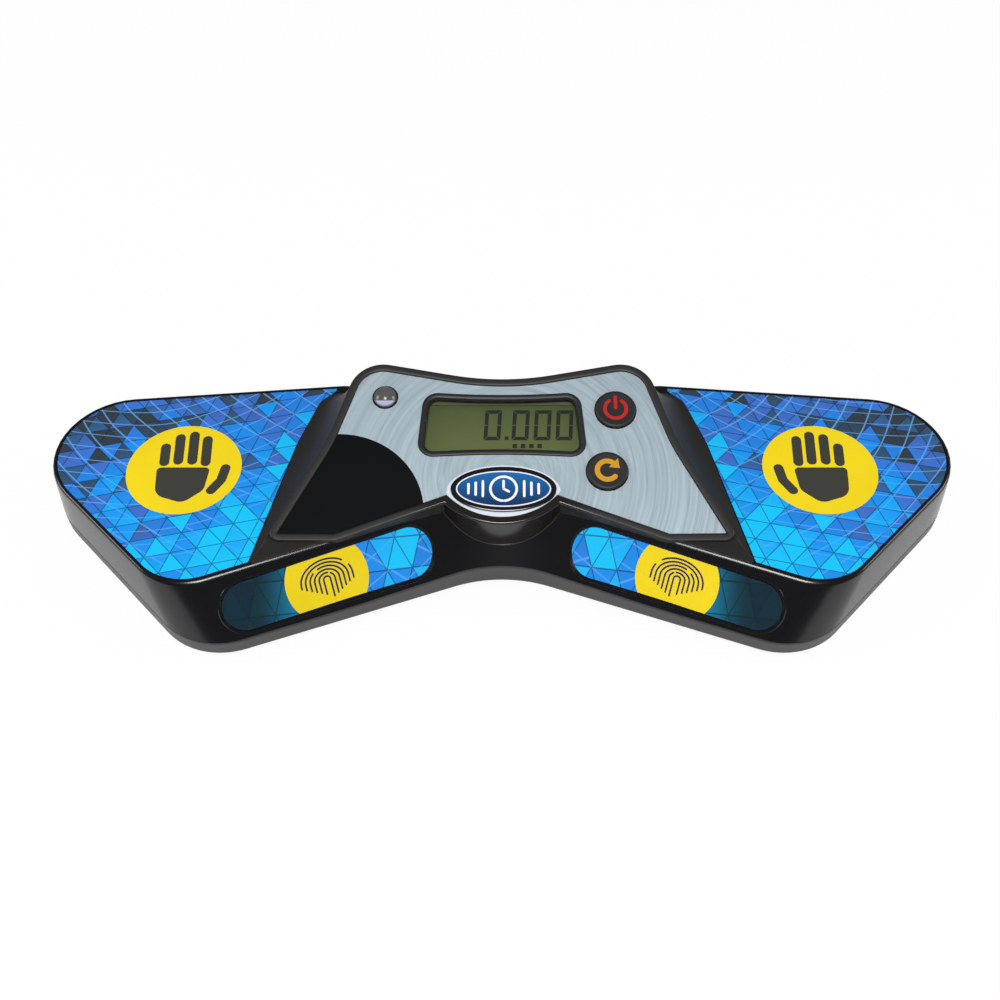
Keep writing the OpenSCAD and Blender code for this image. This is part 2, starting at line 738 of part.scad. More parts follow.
module pan_screw(at, z, r, l, head_r, head_h) {
  rod(at, r, z, l);
  difference() {
    rod(at, head_r, z - head_h, head_h);
    translate([at.x - head_r, at.y - 0.3, z - head_h - 1]) cube([2 * head_r, 0.6, 1.6]);
    translate([at.x - 0.3, at.y - head_r, z - head_h - 1]) cube([0.6, 2 * head_r, 1.6]);
  }
}
module shell_screws() {
  color("#9a9c9e") place() each_side() for (p = post_at)
    pan_screw(p, base_z + 1 + screw_head_h, shell_screw_r, 10, screw_head_r, screw_head_h);
}
module board_screws() {
  color("#9a9c9e") on_face() each_side() for (p = board_posts)
    pan_screw(p, board_z, board_screw_r, 5.5, 1.9, 1.2);
}
module rubber_feet() {
  color("#1b1b1b") place() each_side() for (p = foot_at) rod(p, foot_r, 0, base_z + 0.5);
}

bottom_shell();
top_shell();
console_bezel();
faceplate();
badge_plate();
lcd_frame();
lcd_window();
lcd_glass();
lcd_reflector();
zebra_strips();
main_board();
controller_chip();
board_parts();
status_dome();
status_leds();
power_button();
power_plunger();
power_switch();
reset_button();
reset_plunger();
reset_switch();
hand_pad_left();
hand_pad_right();
finger_pad_left();
finger_pad_right();
hand_electrode_left();
hand_electrode_right();
finger_electrode_left();
finger_electrode_right();
sensor_leads();
data_jack();
battery_door();
battery_cell_front();
battery_cell_rear();
battery_spring_contacts();
battery_plate_contacts();
battery_leads();
shell_screws();
board_screws();
rubber_feet();
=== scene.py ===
import bpy, bmesh, math
from mathutils import Matrix, Vector
from mathutils.bvhtree import BVHTree


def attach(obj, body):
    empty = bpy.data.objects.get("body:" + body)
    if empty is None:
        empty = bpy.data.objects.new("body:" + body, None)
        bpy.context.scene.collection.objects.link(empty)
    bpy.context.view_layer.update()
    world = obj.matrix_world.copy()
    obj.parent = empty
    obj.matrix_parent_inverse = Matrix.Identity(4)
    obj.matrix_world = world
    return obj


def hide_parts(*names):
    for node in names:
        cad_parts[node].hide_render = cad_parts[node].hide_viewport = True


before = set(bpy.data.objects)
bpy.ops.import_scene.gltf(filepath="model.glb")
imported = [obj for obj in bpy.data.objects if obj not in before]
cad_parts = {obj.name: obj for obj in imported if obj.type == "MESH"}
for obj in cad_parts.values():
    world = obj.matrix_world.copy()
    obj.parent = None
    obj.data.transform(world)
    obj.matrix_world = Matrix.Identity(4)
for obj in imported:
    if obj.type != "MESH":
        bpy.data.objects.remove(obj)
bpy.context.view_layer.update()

# ------------------------ Studio
# A white table top under soft light, seen by a player's eye in front of the
# timer. The floor stays white to the camera and keeps a faint contact shadow.


def colour(text):
    """An sRGB hex colour as linear RGBA."""
    parts = [int(text[i:i + 2], 16) / 255 for i in (1, 3, 5)]
    return (*[c / 12.92 if c <= 0.04045 else ((c + 0.055) / 1.055) ** 2.4 for c in parts], 1)


def feed(tree, node, values):
    """Gives a node's inputs their values: constants, or other nodes' outputs."""
    for key, value in values.items():
        if isinstance(value, bpy.types.NodeSocket):
            tree.links.new(value, node.inputs[key])
        else:
            node.inputs[key].default_value = value
    return node


def add(tree, kind, values=(), **settings):
    """Adds a node with its properties and the values of its inputs."""
    made = tree.nodes.new(kind)
    for key, value in settings.items():
        setattr(made, key, value)
    return feed(tree, made, dict(values))


def calc(tree, operation, *values):
    """The result of a maths node."""
    return add(tree, "ShaderNodeMath", dict(enumerate(values)), operation=operation).outputs[0]


def remap(tree, value, low, high, from_low=0, from_high=1, kind="LINEAR"):
    """A value moved from one range to another, and held at its ends."""
    ends = {"Value": value, "To Min": low, "To Max": high, "From Min": from_low, "From Max": from_high}
    return add(tree, "ShaderNodeMapRange", ends, interpolation_type=kind).outputs[0]


def material(name):
    """A new node material: (material, its tree, its Principled shader)."""
    made = bpy.data.materials.new(name)
    made.use_nodes = True
    tree = made.node_tree
    return made, tree, tree.nodes["Principled BSDF"]


scene = bpy.context.scene
scene.view_settings.view_transform = "Standard"

world = bpy.data.worlds.new("studio_air")
scene.world = world
world.use_nodes = True
tree = world.node_tree
tree.nodes.clear()
path = add(tree, "ShaderNodeLightPath").outputs
seen = calc(tree, "MAXIMUM", path["Is Camera Ray"], path["Is Transmission Ray"])
glossy = remap(tree, path["Is Glossy Ray"], 0.46, 0.13)
soft = add(tree, "ShaderNodeBackground", {"Color": colour("#f2f4f8"), "Strength": glossy})
white = add(tree, "ShaderNodeBackground", {"Color": (1, 1, 1, 1), "Strength": 1.0})
mixed = add(tree, "ShaderNodeMixShader", {0: seen, 1: soft.outputs[0], 2: white.outputs[0]})
add(tree, "ShaderNodeOutputWorld", {"Surface": mixed.outputs[0]})

FLOOR_REACH = 3           # half the table top's width, m
floor_mesh = bpy.data.meshes.new("floor")
corners = [(x * FLOOR_REACH, y * FLOOR_REACH, 0) for x, y in ((-1, -1), (1, -1), (1, 1), (-1, 1))]
floor_mesh.from_pydata(corners, [], [(0, 1, 2, 3)])
floor = bpy.data.objects.new("floor", floor_mesh)
scene.collection.objects.link(floor)
made, tree, shader = material("white_table_top")
feed(tree, shader, {"Base Color": (0.86, 0.86, 0.86, 1), "Roughness": 0.9})
glow = add(tree, "ShaderNodeEmission", {"Color": (1, 1, 1, 1), "Strength": 1.0})
share = calc(tree, "MULTIPLY", add(tree, "ShaderNodeLightPath").outputs["Is Camera Ray"], 0.9)
mixed = add(tree, "ShaderNodeMixShader", {0: share, 1: shader.outputs[0], 2: glow.outputs[0]})
# From below the table top is clear, so that the underside can be looked at
from_below = add(tree, "ShaderNodeNewGeometry").outputs["Backfacing"]
clear = add(tree, "ShaderNodeBsdfTransparent")
mixed = add(tree, "ShaderNodeMixShader", {0: from_below, 1: mixed.outputs[0], 2: clear.outputs[0]})
feed(tree, tree.nodes["Material Output"], {"Surface": mixed.outputs[0]})
floor_mesh.materials.append(made)


def softbox(name, at, aim, size, watts):
    """A round lamp at one place, turned towards another."""
    lamp = bpy.data.lights.new(name, "AREA")
    lamp.shape, lamp.size, lamp.energy = "DISK", size, watts
    thing = bpy.data.objects.new(name, lamp)
    scene.collection.objects.link(thing)
    thing.location = at
    thing.rotation_euler = (Vector(aim) - Vector(at)).to_track_quat("-Z", "Y").to_euler()


softbox("key_softbox", (-0.04, -0.5, 1.15), (0, 0, 0), 0.45, 10)
softbox("left_softbox", (-1.0, 0.1, 0.5), (0, 0, 0.02), 0.5, 3)
softbox("right_softbox", (1.0, 0.1, 0.5), (0, 0, 0.02), 0.5, 3)

lens = bpy.data.cameras.new("player_eye")
lens.lens, lens.sensor_width = 46.8, 36
lens.clip_start, lens.clip_end = 0.02, 20
lens.shift_x = -0.002
camera = bpy.data.objects.new("player_eye", lens)
camera.location = (0, -0.26438, 0.3523)
camera.rotation_euler = (math.radians(38.52), 0, 0)
scene.collection.objects.link(camera)
scene.camera = camera

# ------------------------ Upper shell
# Moulded gloss black ABS: the winged body with its deck, the leaning front
# faces and the pad recesses. It is screwed to the lower shell from below.

MIDDLE = 3.27729          # the outlines lie this far behind the body's middle, mm
SPLIT, RIM = 6.5, 24.0    # parting line and deck level, mm
SPLIT_RISE, RISE_REACH = 2.0, 55
FLOOR_OF_DECK = 20.8
WALL = 2.4
FRONT_SLOPE, RIDGE_SLOPE = 0.3665, 0.391
BAND_Y, RIDGE_Y = -12.4, 4.9
WING, SHOULDER, REAR = (178.7, 40.6, 25), (54, 51.6, 15), (0, 42.5, 110)
DECK = [(0, RIDGE_Y, 38), (104, RIDGE_Y - 104 * RIDGE_SLOPE, 20), WING, SHOULDER, REAR]
BAND = [(0, BAND_Y, 45), (95.6, BAND_Y - 95.6 * FRONT_SLOPE, 24), WING, SHOULDER, REAR]


def parting(x, y):
    """Height of the parting line, which rises towards the front middle."""
    t = max(0.0, 1 - abs(x) / RISE_REACH) if y < 0 else 0.0
    return SPLIT + SPLIT_RISE * t * t * (3 - 2 * t)


def both_sides(right):
    """A right half outline, from the front middle round to the rear middle, with its mirror image."""
    return list(right) + [(-x, y, r) for x, y, r in right[-2:0:-1]]


def drawn_in(corners, d):
    """Moves each rounded corner inwards, square to both of its edges."""
    out, n = [], len(corners)
    for i, (x, y, r) in enumerate(corners):
        c = Vector((x, y))
        before, after = Vector(corners[i - 1][:2]), Vector(corners[(i + 1) % n][:2])
        u, v = (before - c).normalized(), (after - c).normalized()
        half = math.acos(max(-1, min(1, u.dot(v)))) / 2
        side = 1 if (c - before).cross(after - c) > 0 else -1
        at = c + (u + v).normalized() * side * d / math.sin(half)
        out.append((at.x, at.y, max(r - side * d, 0.3)))
    return out


def ring(corners, steps=16, between=0):
    """The closed outline through rounded corners, with some points between them."""
    arcs, n = [], len(corners)
    for i, (x, y, r) in enumerate(corners):
        c = Vector((x, y))
        u = (Vector(corners[i - 1][:2]) - c).normalized()
        v = (Vector(corners[(i + 1) % n][:2]) - c).normalized()
        half = math.acos(max(-1, min(1, u.dot(v)))) / 2
        m = c + (u + v).normalized() * r / math.sin(half)
        a, b = c + u * r / math.tan(half) - m, c + v * r / math.tan(half) - m
        turn = math.atan2(a.cross(b), a.dot(b))
        start = math.atan2(a.y, a.x)
        angles = [start + turn * k / steps for k in range(steps + 1)]
        arcs.append([m + r * Vector((math.cos(w), math.sin(w))) for w in angles])
    points = []
    for arc, after in zip(arcs, arcs[1:] + arcs[:1]):
        points += arc + [arc[-1].lerp(after[0], k / (between + 1)) for k in range(1, between + 1)]
    return [tuple(p) for p in points]


def inset(right, d, steps=16, between=0):
    """The closed outline of a right half with its mirror image, d inside."""
    return ring(drawn_in(both_sides(right), d), steps, between)


def mixed_corners(a, b, t):
    """Rounded corners between two sets of them."""
    return [tuple(p + (q - p) * t for p, q in zip(c, d)) for c, d in zip(a, b)]


def side_ring(t, d=0.0):
    """The body's outline from the parting line, 0, to the deck, 1, d inside its outer wall."""
    outline = inset(mixed_corners(BAND, DECK, t), d, between=14)
    return [(x, y, parting(x, y) + (RIM - parting(x, y)) * t) for x, y in outline]


def body(p):
    """A point of the body's source outline, in mm, in the row frame."""
    return Vector((p[0], p[1] - MIDDLE, p[2])) * 0.001


def lathe_faces(count, rings, cyclic=False):
    """Quads between matched rings of points."""
    faces = []
    for j in range(rings if cyclic else rings - 1):
        k = (j + 1) % rings
        for i in range(count):
            n = (i + 1) % count
            faces.append((j * count + i, j * count + n, k * count + n, k * count + i))
    return faces


def mesh_piece(name, points, faces):
    """A mesh object from points in metres, its faces turned outwards."""
    mesh = bpy.data.meshes.new(name)
    mesh.from_pydata([tuple(p) for p in points], [], faces)
    work = bmesh.new()
    work.from_mesh(mesh)
    bmesh.ops.remove_doubles(work, verts=work.verts, dist=1e-7)
    bmesh.ops.recalc_face_normals(work, faces=work.faces)
    work.to_mesh(mesh)
    work.free()
    made = bpy.data.objects.new(name, mesh)
    scene.collection.objects.link(made)
    return made


def lofted(name, rings, place=body, cyclic=False):
    """A closed solid through matched rings, with flat ends unless the rings close on themselves."""
    count = len(rings[0])
    points = [place(p) for r in rings for p in r]
    faces = lathe_faces(count, len(rings), cyclic)
    if not cyclic:
        faces.append(tuple(range(count)))
        faces.append(tuple((len(rings) - 1) * count + i for i in range(count)))
    return mesh_piece(name, points, faces)


def slab(name, outline, z0, z1, place=body):
    """A flat plate with square edges."""
    return lofted(name, [[(x, y, z) for x, y in outline] for z in (z0, z1)], place)


def raised(outline, profile):
    """Rings of an outline for pairs of its distance inwards and its height."""
    return [[(x, y, z) for x, y in outline(d)] for d, z in profile]


def oval(w, h, at=(0, 0), steps=96):
    """The points of an oval by its width and height."""
    angles = [math.tau * k / steps for k in range(steps)]
    return [(at[0] + w / 2 * math.cos(a), at[1] + h / 2 * math.sin(a)) for a in angles]


def circle(r, at=(0, 0), steps=64):
    """The points of a circle by its radius."""
    return oval(2 * r, 2 * r, at, steps)


def cut(piece, *tools, how="DIFFERENCE"):
    """Cuts the tools out of a piece, or joins them to it, and takes them away."""
    for tool in tools:
        step = piece.modifiers.new("cut", "BOOLEAN")
        step.object, step.operation, step.solver = tool, how, "EXACT"
    graph = bpy.context.evaluated_depsgraph_get()
    result = bpy.data.meshes.new_from_object(piece.evaluated_get(graph))
    piece.modifiers.clear()
    piece.data = result
    for tool in tools:
        bpy.data.objects.remove(tool)
    return piece


def joined(name, *parts):
    """Several closed meshes as one piece."""
    work = bmesh.new()
    for part in parts:
        work.from_mesh(part.data)
        bpy.data.objects.remove(part)
    mesh = bpy.data.meshes.new(name)
    work.to_mesh(mesh)
    work.free()
    made = bpy.data.objects.new(name, mesh)
    scene.collection.objects.link(made)
    return made


def finished(piece, finish, body_name, slot, *nodes, sharp=32):
    """Shades a piece, gives it its material and puts it on its body."""
    mesh = piece.data
    mesh.materials.clear()
    mesh.materials.append(finish)
    for face in mesh.polygons:
        face.use_smooth = True
        face.material_index = 0
    mesh.set_sharp_from_angle(angle=math.radians(sharp))
    even = piece.modifiers.new("even_shading", "WEIGHTED_NORMAL")
    even.keep_sharp = True
    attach(piece, body_name)
    if nodes:
        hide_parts(*nodes)
    return piece


def coords(tree):
    """The place of the shaded point, in m, in the row frame."""
    return add(tree, "ShaderNodeTexCoord").outputs["Object"]


def noise(tree, where, scale, detail=2.0):
    """A noise between 0 and 1."""
    values = {"Vector": where, "Scale": scale, "Detail": detail}
    return add(tree, "ShaderNodeTexNoise", values).outputs["Fac"]


def scaled(tree, vector, factor):
    """A vector or a colour times a factor."""
    return add(tree, "ShaderNodeVectorMath", {0: vector, "Scale": factor}, operation="SCALE").outputs[0]


GRAIN_HEIGHT = 0.0001     # m


def moulded(name, tint, roughness, grain, depth, coat=0.0):
    """A moulded plastic or rubber: faint colour change and the tool's fine grain, grain in mm."""
    made, tree, shader = material(name)
    where = coords(tree)
    cloud = noise(tree, where, 22.0, 3.0)
    fine = noise(tree, where, 1000 / grain)
    bump = add(tree, "ShaderNodeBump", {"Height": fine, "Strength": depth, "Distance": GRAIN_HEIGHT})
    feed(tree, shader, {"Base Color": scaled(tree, colour(tint)[:3], remap(tree, cloud, 0.86, 1.14)),
                        "Roughness": remap(tree, cloud, roughness * 0.85, roughness * 1.15),
                        "Normal": bump.outputs[0], "IOR": 1.52,
                        "Coat Weight": coat, "Coat Roughness": 0.08})
    return made


# Rings from the parting line up the outer wall, over the rounded rim and onto the deck,
# then the inner wall, so that the shell is hollow and open below.
ROUND = 1.3
walls = [side_ring(0.02 + 0.98 * k / 6) for k in range(7)]
edge, low = side_ring(1), side_ring(0)
inside = side_ring(1, ROUND)
rounding = []
for k in range(6):
    t = k / 5
    row = []
    for e, w, b in zip(edge, low, inside):
        e, w, b = Vector(e), Vector(w), Vector(b)
        a = e + (w - e).normalized() * ROUND
        row.append(tuple(a * (1 - t) ** 2 + e * 2 * t * (1 - t) + b * t * t))
    rounding.append(row)
under_deck = [(x, y, FLOOR_OF_DECK) for x, y, z in side_ring(0.82, WALL)]
upper = lofted("upper_shell", [under_deck, side_ring(0, WALL), side_ring(0, 0.3)] + walls[:-1] + rounding)


def crossing(a, b, c, d):
    """Where segment ab meets segment cd, or None."""
    p, r, q, s = Vector(a), Vector(b) - Vector(a), Vector(c), Vector(d) - Vector(c)
    area = r.cross(s)
    if abs(area) < 1e-9:
        return None
    t, u = (q - p).cross(s) / area, (q - p).cross(r) / area
    return p + r * t if 0 <= t <= 1 and 0 <= u <= 1 else None


def piece_between(outer, inner):
    """The part of one outline outside another, on the right, as a single loop."""
    outer = [p for p in outer if p[0] > 0]
    inner = [p for p in inner if p[0] > 0]
    cross = []
    for i in range(len(outer) - 1):
        for j in range(len(inner) - 1):
            at = crossing(outer[i], outer[i + 1], inner[j], inner[j + 1])
            if at:
                cross.append((i, j, tuple(at)))
    (i0, j0, front), (i1, j1, back) = cross[0], cross[-1]
    return [front] + outer[i0 + 1:i1 + 1] + [back] + inner[j0 + 1:j1 + 1][::-1]


APRON = (79.0, RIDGE_Y - 79.0 * RIDGE_SLOPE, 1)
FOOT_SIDE, FOOT_REAR, FOOT_BACK = (68.2, 24.5, 60), (61.0, 48.2, 9), (0, 41.9, 110)
PAD_SIDE = [(0, 0, 12), APRON, FOOT_SIDE, (62.4, 42.5, 9), (56.9, 48.3, 1.5), (56.6, 54, 1), FOOT_BACK]
RIM_W, PAD_GAP = 1.6, 0.4     # bare rim round the pads, and their gap to the console, mm


def pad_outline(d, side=1):
    """A hand pad's outline, d smaller all round."""
    outer = inset(DECK, RIM_W + d)
    inner = inset(PAD_SIDE, -PAD_GAP - d)
    return [(side * x, y) for x, y in piece_between(outer, inner)]


FRONT_ANGLE = math.radians(-90) - math.atan(FRONT_SLOPE)
FACE_ANGLE = math.radians(53.0883)
FACE_REACH = 6.5725       # reach of the front face halfway up, along its level heading


def on_face(a, v):
    """A point of the right front face, a along it and v up its slope."""
    h = Vector((math.cos(FRONT_ANGLE), math.sin(FRONT_ANGLE)))
    at = h * (FACE_REACH - v * math.cos(FACE_ANGLE)) + Vector((-h.y, h.x)) * a
    z = (SPLIT + RIM) / 2 + v * math.sin(FACE_ANGLE)
    low = parting(at.x, -1)
    t = (z - low) / (RIM - low)
    y = (BAND_Y - FRONT_SLOPE * at.x) * (1 - t) + (RIDGE_Y - RIDGE_SLOPE * at.x) * t
    return Vector((at.x, y, z))


def front(side):
    """Places points of a front face, x along it, y up its slope and z out of it, on one side."""

    def place(p):
        q = on_face(p[0], p[1])
        along, up = on_face(p[0] + 0.5, p[1]) - q, on_face(p[0], p[1] + 0.5) - q
        q += along.cross(up).normalized() * p[2]
        return body((side * q.x, q.y, q.z))
    return place


FINGER_AT, FINGER_L, FINGER_H = (60.7, -0.15), 68.7, 15.1     # the finger pad on its face, mm
FINGER_TURN = math.radians(-1.56)
SIDE_STEPS = 24


def on_pad(x, y):
    """A point of the front face from its place on the finger pad."""
    c, s = math.cos(FINGER_TURN), math.sin(FINGER_TURN)
    return (FINGER_AT[0] + x * c - y * s, FINGER_AT[1] + x * s + y * c)


def stadium(length, height, steps=20):
    """A finger pad's outline, its long sides in short steps so that they follow the face."""
    points, half = [], (length - height) / 2
    for s, start in ((1, -90), (-1, 90)):
        points += [(half * s * (2 * k / SIDE_STEPS - 1), -s * height / 2) for k in range(1, SIDE_STEPS)]
        for k in range(steps + 1):
            w = math.radians(start + 180 * k / steps)
            points.append((s * half + height / 2 * math.cos(w), height / 2 * math.sin(w)))
    return [on_pad(x, y) for x, y in points]


def wrapped(piece, place, step=3.0):
    """Cuts a flat piece into small fields, by lines a step apart, and lays it on a curved face."""
    aside = 0.01          # keeps the lines off the piece's own points
    work = bmesh.new()
    work.from_mesh(piece.data)
    for axis in (0, 1):
        normal = Vector((axis == 0, axis == 1, 0))
        places = [v.co[axis] for v in work.verts]
        for k in range(math.ceil(min(places) / step), math.floor(max(places) / step) + 1):
            bmesh.ops.bisect_plane(work, geom=work.verts[:] + work.edges[:] + work.faces[:],
                                   plane_co=normal * (k * step + aside), plane_no=normal)
    for v in work.verts:
        v.co = place(v.co)
    bmesh.ops.recalc_face_normals(work, faces=work.faces)
    work.to_mesh(piece.data)
    work.free()
    return piece


def on_front(name, outline, low, high, side):
    """A thin plate that follows a front face."""
    return wrapped(slab(name, outline, low, high, Vector), front(side))


def finger_rings(profile):
    """Rings about a finger pad for pairs of their distance outwards and their height."""
    return raised(lambda d: stadium(FINGER_L + 2 * d, FINGER_H + 2 * d), profile)


OPENING = [(0, 5.4, 12), (50, -13.8, 4), (75, -18.6, 2), FOOT_SIDE, FOOT_REAR, FOOT_BACK]
JACK_R, JACK_AT = 3.2, (38, 14.5)       # across and up the rear wall
tools = [slab("under_console", inset(OPENING, 3.6), 19.8, 25),
         lofted("jack_bore", [[(x, y, z) for x, z in circle(JACK_R, JACK_AT, 40)] for y in (40, 60)])]
lips = []
for side in (1, -1):
    tools.append(slab("pad_pocket", pad_outline(-0.15, side), RIM - 0.8, RIM + 1))
    pocket = finger_rings(((0.15, -0.8), (0.15, -0.25), (0.35, 0.0), (0.75, 0.35)))
    tools.append(wrapped(lofted("finger_pocket", pocket, Vector), front(side)))
    lip = finger_rings(((0.8, -0.1), (0.8, 0.04), (0.9, 0.16), (1.05, 0.16), (1.3, -0.1)))
    lips.append(wrapped(lofted("finger_lip", lip, Vector, cyclic=True), front(side)))
cut(upper, *tools)
upper = joined("upper_shell", upper, *lips)
gloss_black = moulded("gloss_black_abs", "#0c0c0e", 0.2, 0.5, 0.03)
finished(upper, gloss_black, "root", "shell_plastic", "top_shell")

# ------------------------ Lower shell
# Moulded satin ABS tray with the battery bay, screw posts and feet pockets.
# Its band shows as the grey edge under the parting line.


def smooth_copy(name, node):
    """A merged copy of a CAD node's mesh."""
    return mesh_piece(name, [v.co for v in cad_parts[node].data.vertices],
                      [tuple(p.vertices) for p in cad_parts[node].data.polygons])


tray = smooth_copy("tray", "bottom_shell")
cut(tray, slab("trim", inset(BAND, 0.6), -5, 30), how="INTERSECT")
# Distance inwards, height, and whether the height follows the parting line
PROFILE = ((WALL, 1.05, 0), (0.6, 1.0, 0), (0.25, 1.12, 0), (0.05, 1.4, 0), (0, 1.9, 0),
           (0, -0.4, 1), (0.25, -0.06, 1), (WALL, -0.06, 1))
rows = []
for d, z, h in PROFILE:
    outline = inset(BAND, d, between=14)
    rows.append([(x, y, z + h * parting(x, y)) for x, y in outline])
lower = joined("lower_shell", tray, lofted("band", rows, cyclic=True))
satin_grey = moulded("satin_charcoal_abs", "#403e3d", 0.42, 0.35, 0.12)
finished(lower, satin_grey, "root", "lower_shell_plastic", "bottom_shell", sharp=30)

# ------------------------ Console frame
# Satin black moulding welded on the deck: sloping skirts, a raised bead round
# the faceplate and a round nose at the front that carries the badge.

TILT = math.radians(15)
FACE_Y, FACE_Z = -10.0, 25.8
NOSE_Y, NOSE_R = 25.7, 27.0
NOSE_POINTS = 49          # they come first in the frame's outline
BEAD_W = 2.7
FRAME = [(0, 2.5, 12), (52.4, -16.8, 4), (75.3, -16.6, 3), (57.3, 17.0, 60),
         (47.2, 46.3, 11.5), (0, 37.8, 90)]
FOOT_Y = 5.2
FOOT = [(0, FOOT_Y, 12), (50, FOOT_Y - 50 * RIDGE_SLOPE, 4), (78.7, FOOT_Y - 78.7 * RIDGE_SLOPE, 1),
        FOOT_SIDE, FOOT_REAR, FOOT_BACK]


def deck(p):
    """A point of the tilted display deck: x, y up the deck, z out of it."""
    return body((p[0], FACE_Y + p[1] * math.cos(TILT) - p[2] * math.sin(TILT),
                 FACE_Z + p[1] * math.sin(TILT) + p[2] * math.cos(TILT)))


FRAME_LOCAL = [(x, (y - FACE_Y) / math.cos(TILT), r) for x, y, r in FRAME]


def nosed(d, steps=16):
    """The frame's outline with its round nose, d inside the outer edge."""
    corners = drawn_in(both_sides(FRAME_LOCAL), d)
    keep = ring(corners, steps)[steps + 1:]
    r = NOSE_R - d
    # The front edge runs from the right corner towards the middle until it meets the nose
    a, b = Vector(keep[0]), Vector(corners[0][:2])
    t, tries = 0.0, 4000
    for k in range(tries + 1):
        p = a + (b - a) * k / tries
        if p.x ** 2 + (p.y - NOSE_Y) ** 2 < r * r:
            t = k / tries
            break
    notch = a + (b - a) * t
    w1 = math.atan2(notch.y - NOSE_Y, notch.x)
    w0 = -math.pi - w1
    angles = [w0 + (w1 - w0) * k / (NOSE_POINTS - 1) for k in range(NOSE_POINTS)]
    arc = [(r * math.cos(w), NOSE_Y + r * math.sin(w)) for w in angles]
    near = a + (b - a) * max(t - 0.004, 0)
    return arc + [tuple(near)] + keep + [(-near.x, near.y)]


# The nose's wall spreads as it runs down into the front face, the front edges
# end in it too, and the rest of the frame stops at the skirt
NOSE_LOW, FRONT_LOW, SKIRT_LOW = -15.0, -6.0, -0.6
BEAD = ((0.0, 0.35), (0.1, 0.66), (0.34, 0.9), (0.7, 1.0), (1.9, 1.0), (2.3, 0.92), (2.58, 0.72),
        (BEAD_W, 0.4), (BEAD_W, 0.0))
outer, spread = nosed(0), nosed(-2.2)
low = [(x, y, NOSE_LOW) for x, y in spread[:NOSE_POINTS]]
low += [(x, y, FRONT_LOW if y < 1 and abs(x) < 53 else SKIRT_LOW) for x, y in outer[NOSE_POINTS:]]
plate = lofted("plate", [low] + raised(nosed, BEAD), deck)


def plane_z(y):
    """Height of the tilted deck above the table, at one level distance."""
    return FACE_Z + (y - FACE_Y) * math.tan(TILT)


top, top_in = [inset(FRAME, d, between=9) for d in (0.35, 2.6)]
foot, foot_in = [inset(FOOT, d, between=9) for d in (0.05, 3.0)]
START, FINISH = RIM + 0.2, 0.45          # the skirt's foot, and its head below the deck plane
rows = [[(x, y, z) for x, y in outline]
        for outline, z in ((foot_in, RIM - 0.3), (foot, RIM - 0.3), (foot, RIM + 0.12))]
for k in range(1, 13):
    t = k / 12
    row = []
    for (fx, fy), (tx, ty) in zip(foot, top):
        high = max(plane_z(ty) - FINISH, RIM + 0.22)
        # The skirt is hollowed where it is tall, towards the rear
        bend = 1 + 0.9 * min(1, max(0, (high - 25) / 8))
        row.append((fx + (tx - fx) * t, fy + (ty - fy) * t, START + (high - START) * t ** bend))
    rows.append(row)
rows.append([(x, y, max(plane_z(y) - 1.2, RIM - 0.2)) for x, y in top_in])
skirt = lofted("skirt", rows, cyclic=True)


def box_outline(w, h, r, at=(0, 0)):
    """The points of a rectangle with round corners."""
    corners = [(-w / 2, -h / 2, r), (w / 2, -h / 2, r), (w / 2, h / 2, r), (-w / 2, h / 2, r)]
    return [(x + at[0], y + at[1]) for x, y in ring(corners, 10)]


LCD_Y, LCD_EDGE = 34.1, 2.1
LCD_SHAPE = [(0, -10.4, 300), (27.8, -11.8, 5), (25.7, 12.0, 5), (0, 10.2, 300)]
POWER_AT, RESET_AT, DOME_AT = (37.25, 39.5), (33.85, 17.3), (-38.5, 44.2)
CAP_R, DOME_R = 6.65, 4.2


def lcd_outline(d):
    """The display surround, d inside its outer edge: waisted, and narrower to the rear."""
    return [(x, y + LCD_Y) for x, y in inset(LCD_SHAPE, d, 10)]


def deck_holes(low=-16, high=3):
    """Tools for the holes of the display, the two buttons and the status light."""
    outlines = (lcd_outline(-0.1), circle(CAP_R + 0.3, POWER_AT), circle(CAP_R + 0.3, RESET_AT),
                circle(DOME_R + 0.1, DOME_AT))
    return [slab("hole", outline, low, high, deck) for outline in outlines]


def calc_vector(tree, operation, *values):
    """The result of a vector maths node, a number where the operation gives one."""
    made = add(tree, "ShaderNodeVectorMath", dict(enumerate(values)), operation=operation)
    return made.outputs["Value" if operation in ("DISTANCE", "DOT_PRODUCT", "LENGTH") else "Vector"]


def distance(tree, where, point):
    """How far the shaded point is from a point on the tilted deck, in m."""
    return calc_vector(tree, "DISTANCE", where, tuple(deck(point)))


cut(plate, *deck_holes())
satin_black = moulded("satin_black_abs", "#1c1a18", 0.5, 0.3, 0.12)
# The round nose is polished, the rest is left satin
tree = satin_black.node_tree
polish = remap(tree, distance(tree, coords(tree), (0, 6, -4)), 0.15, 0.5, 0.019, 0.034)
feed(tree, tree.nodes["Principled BSDF"], {"Roughness": polish})
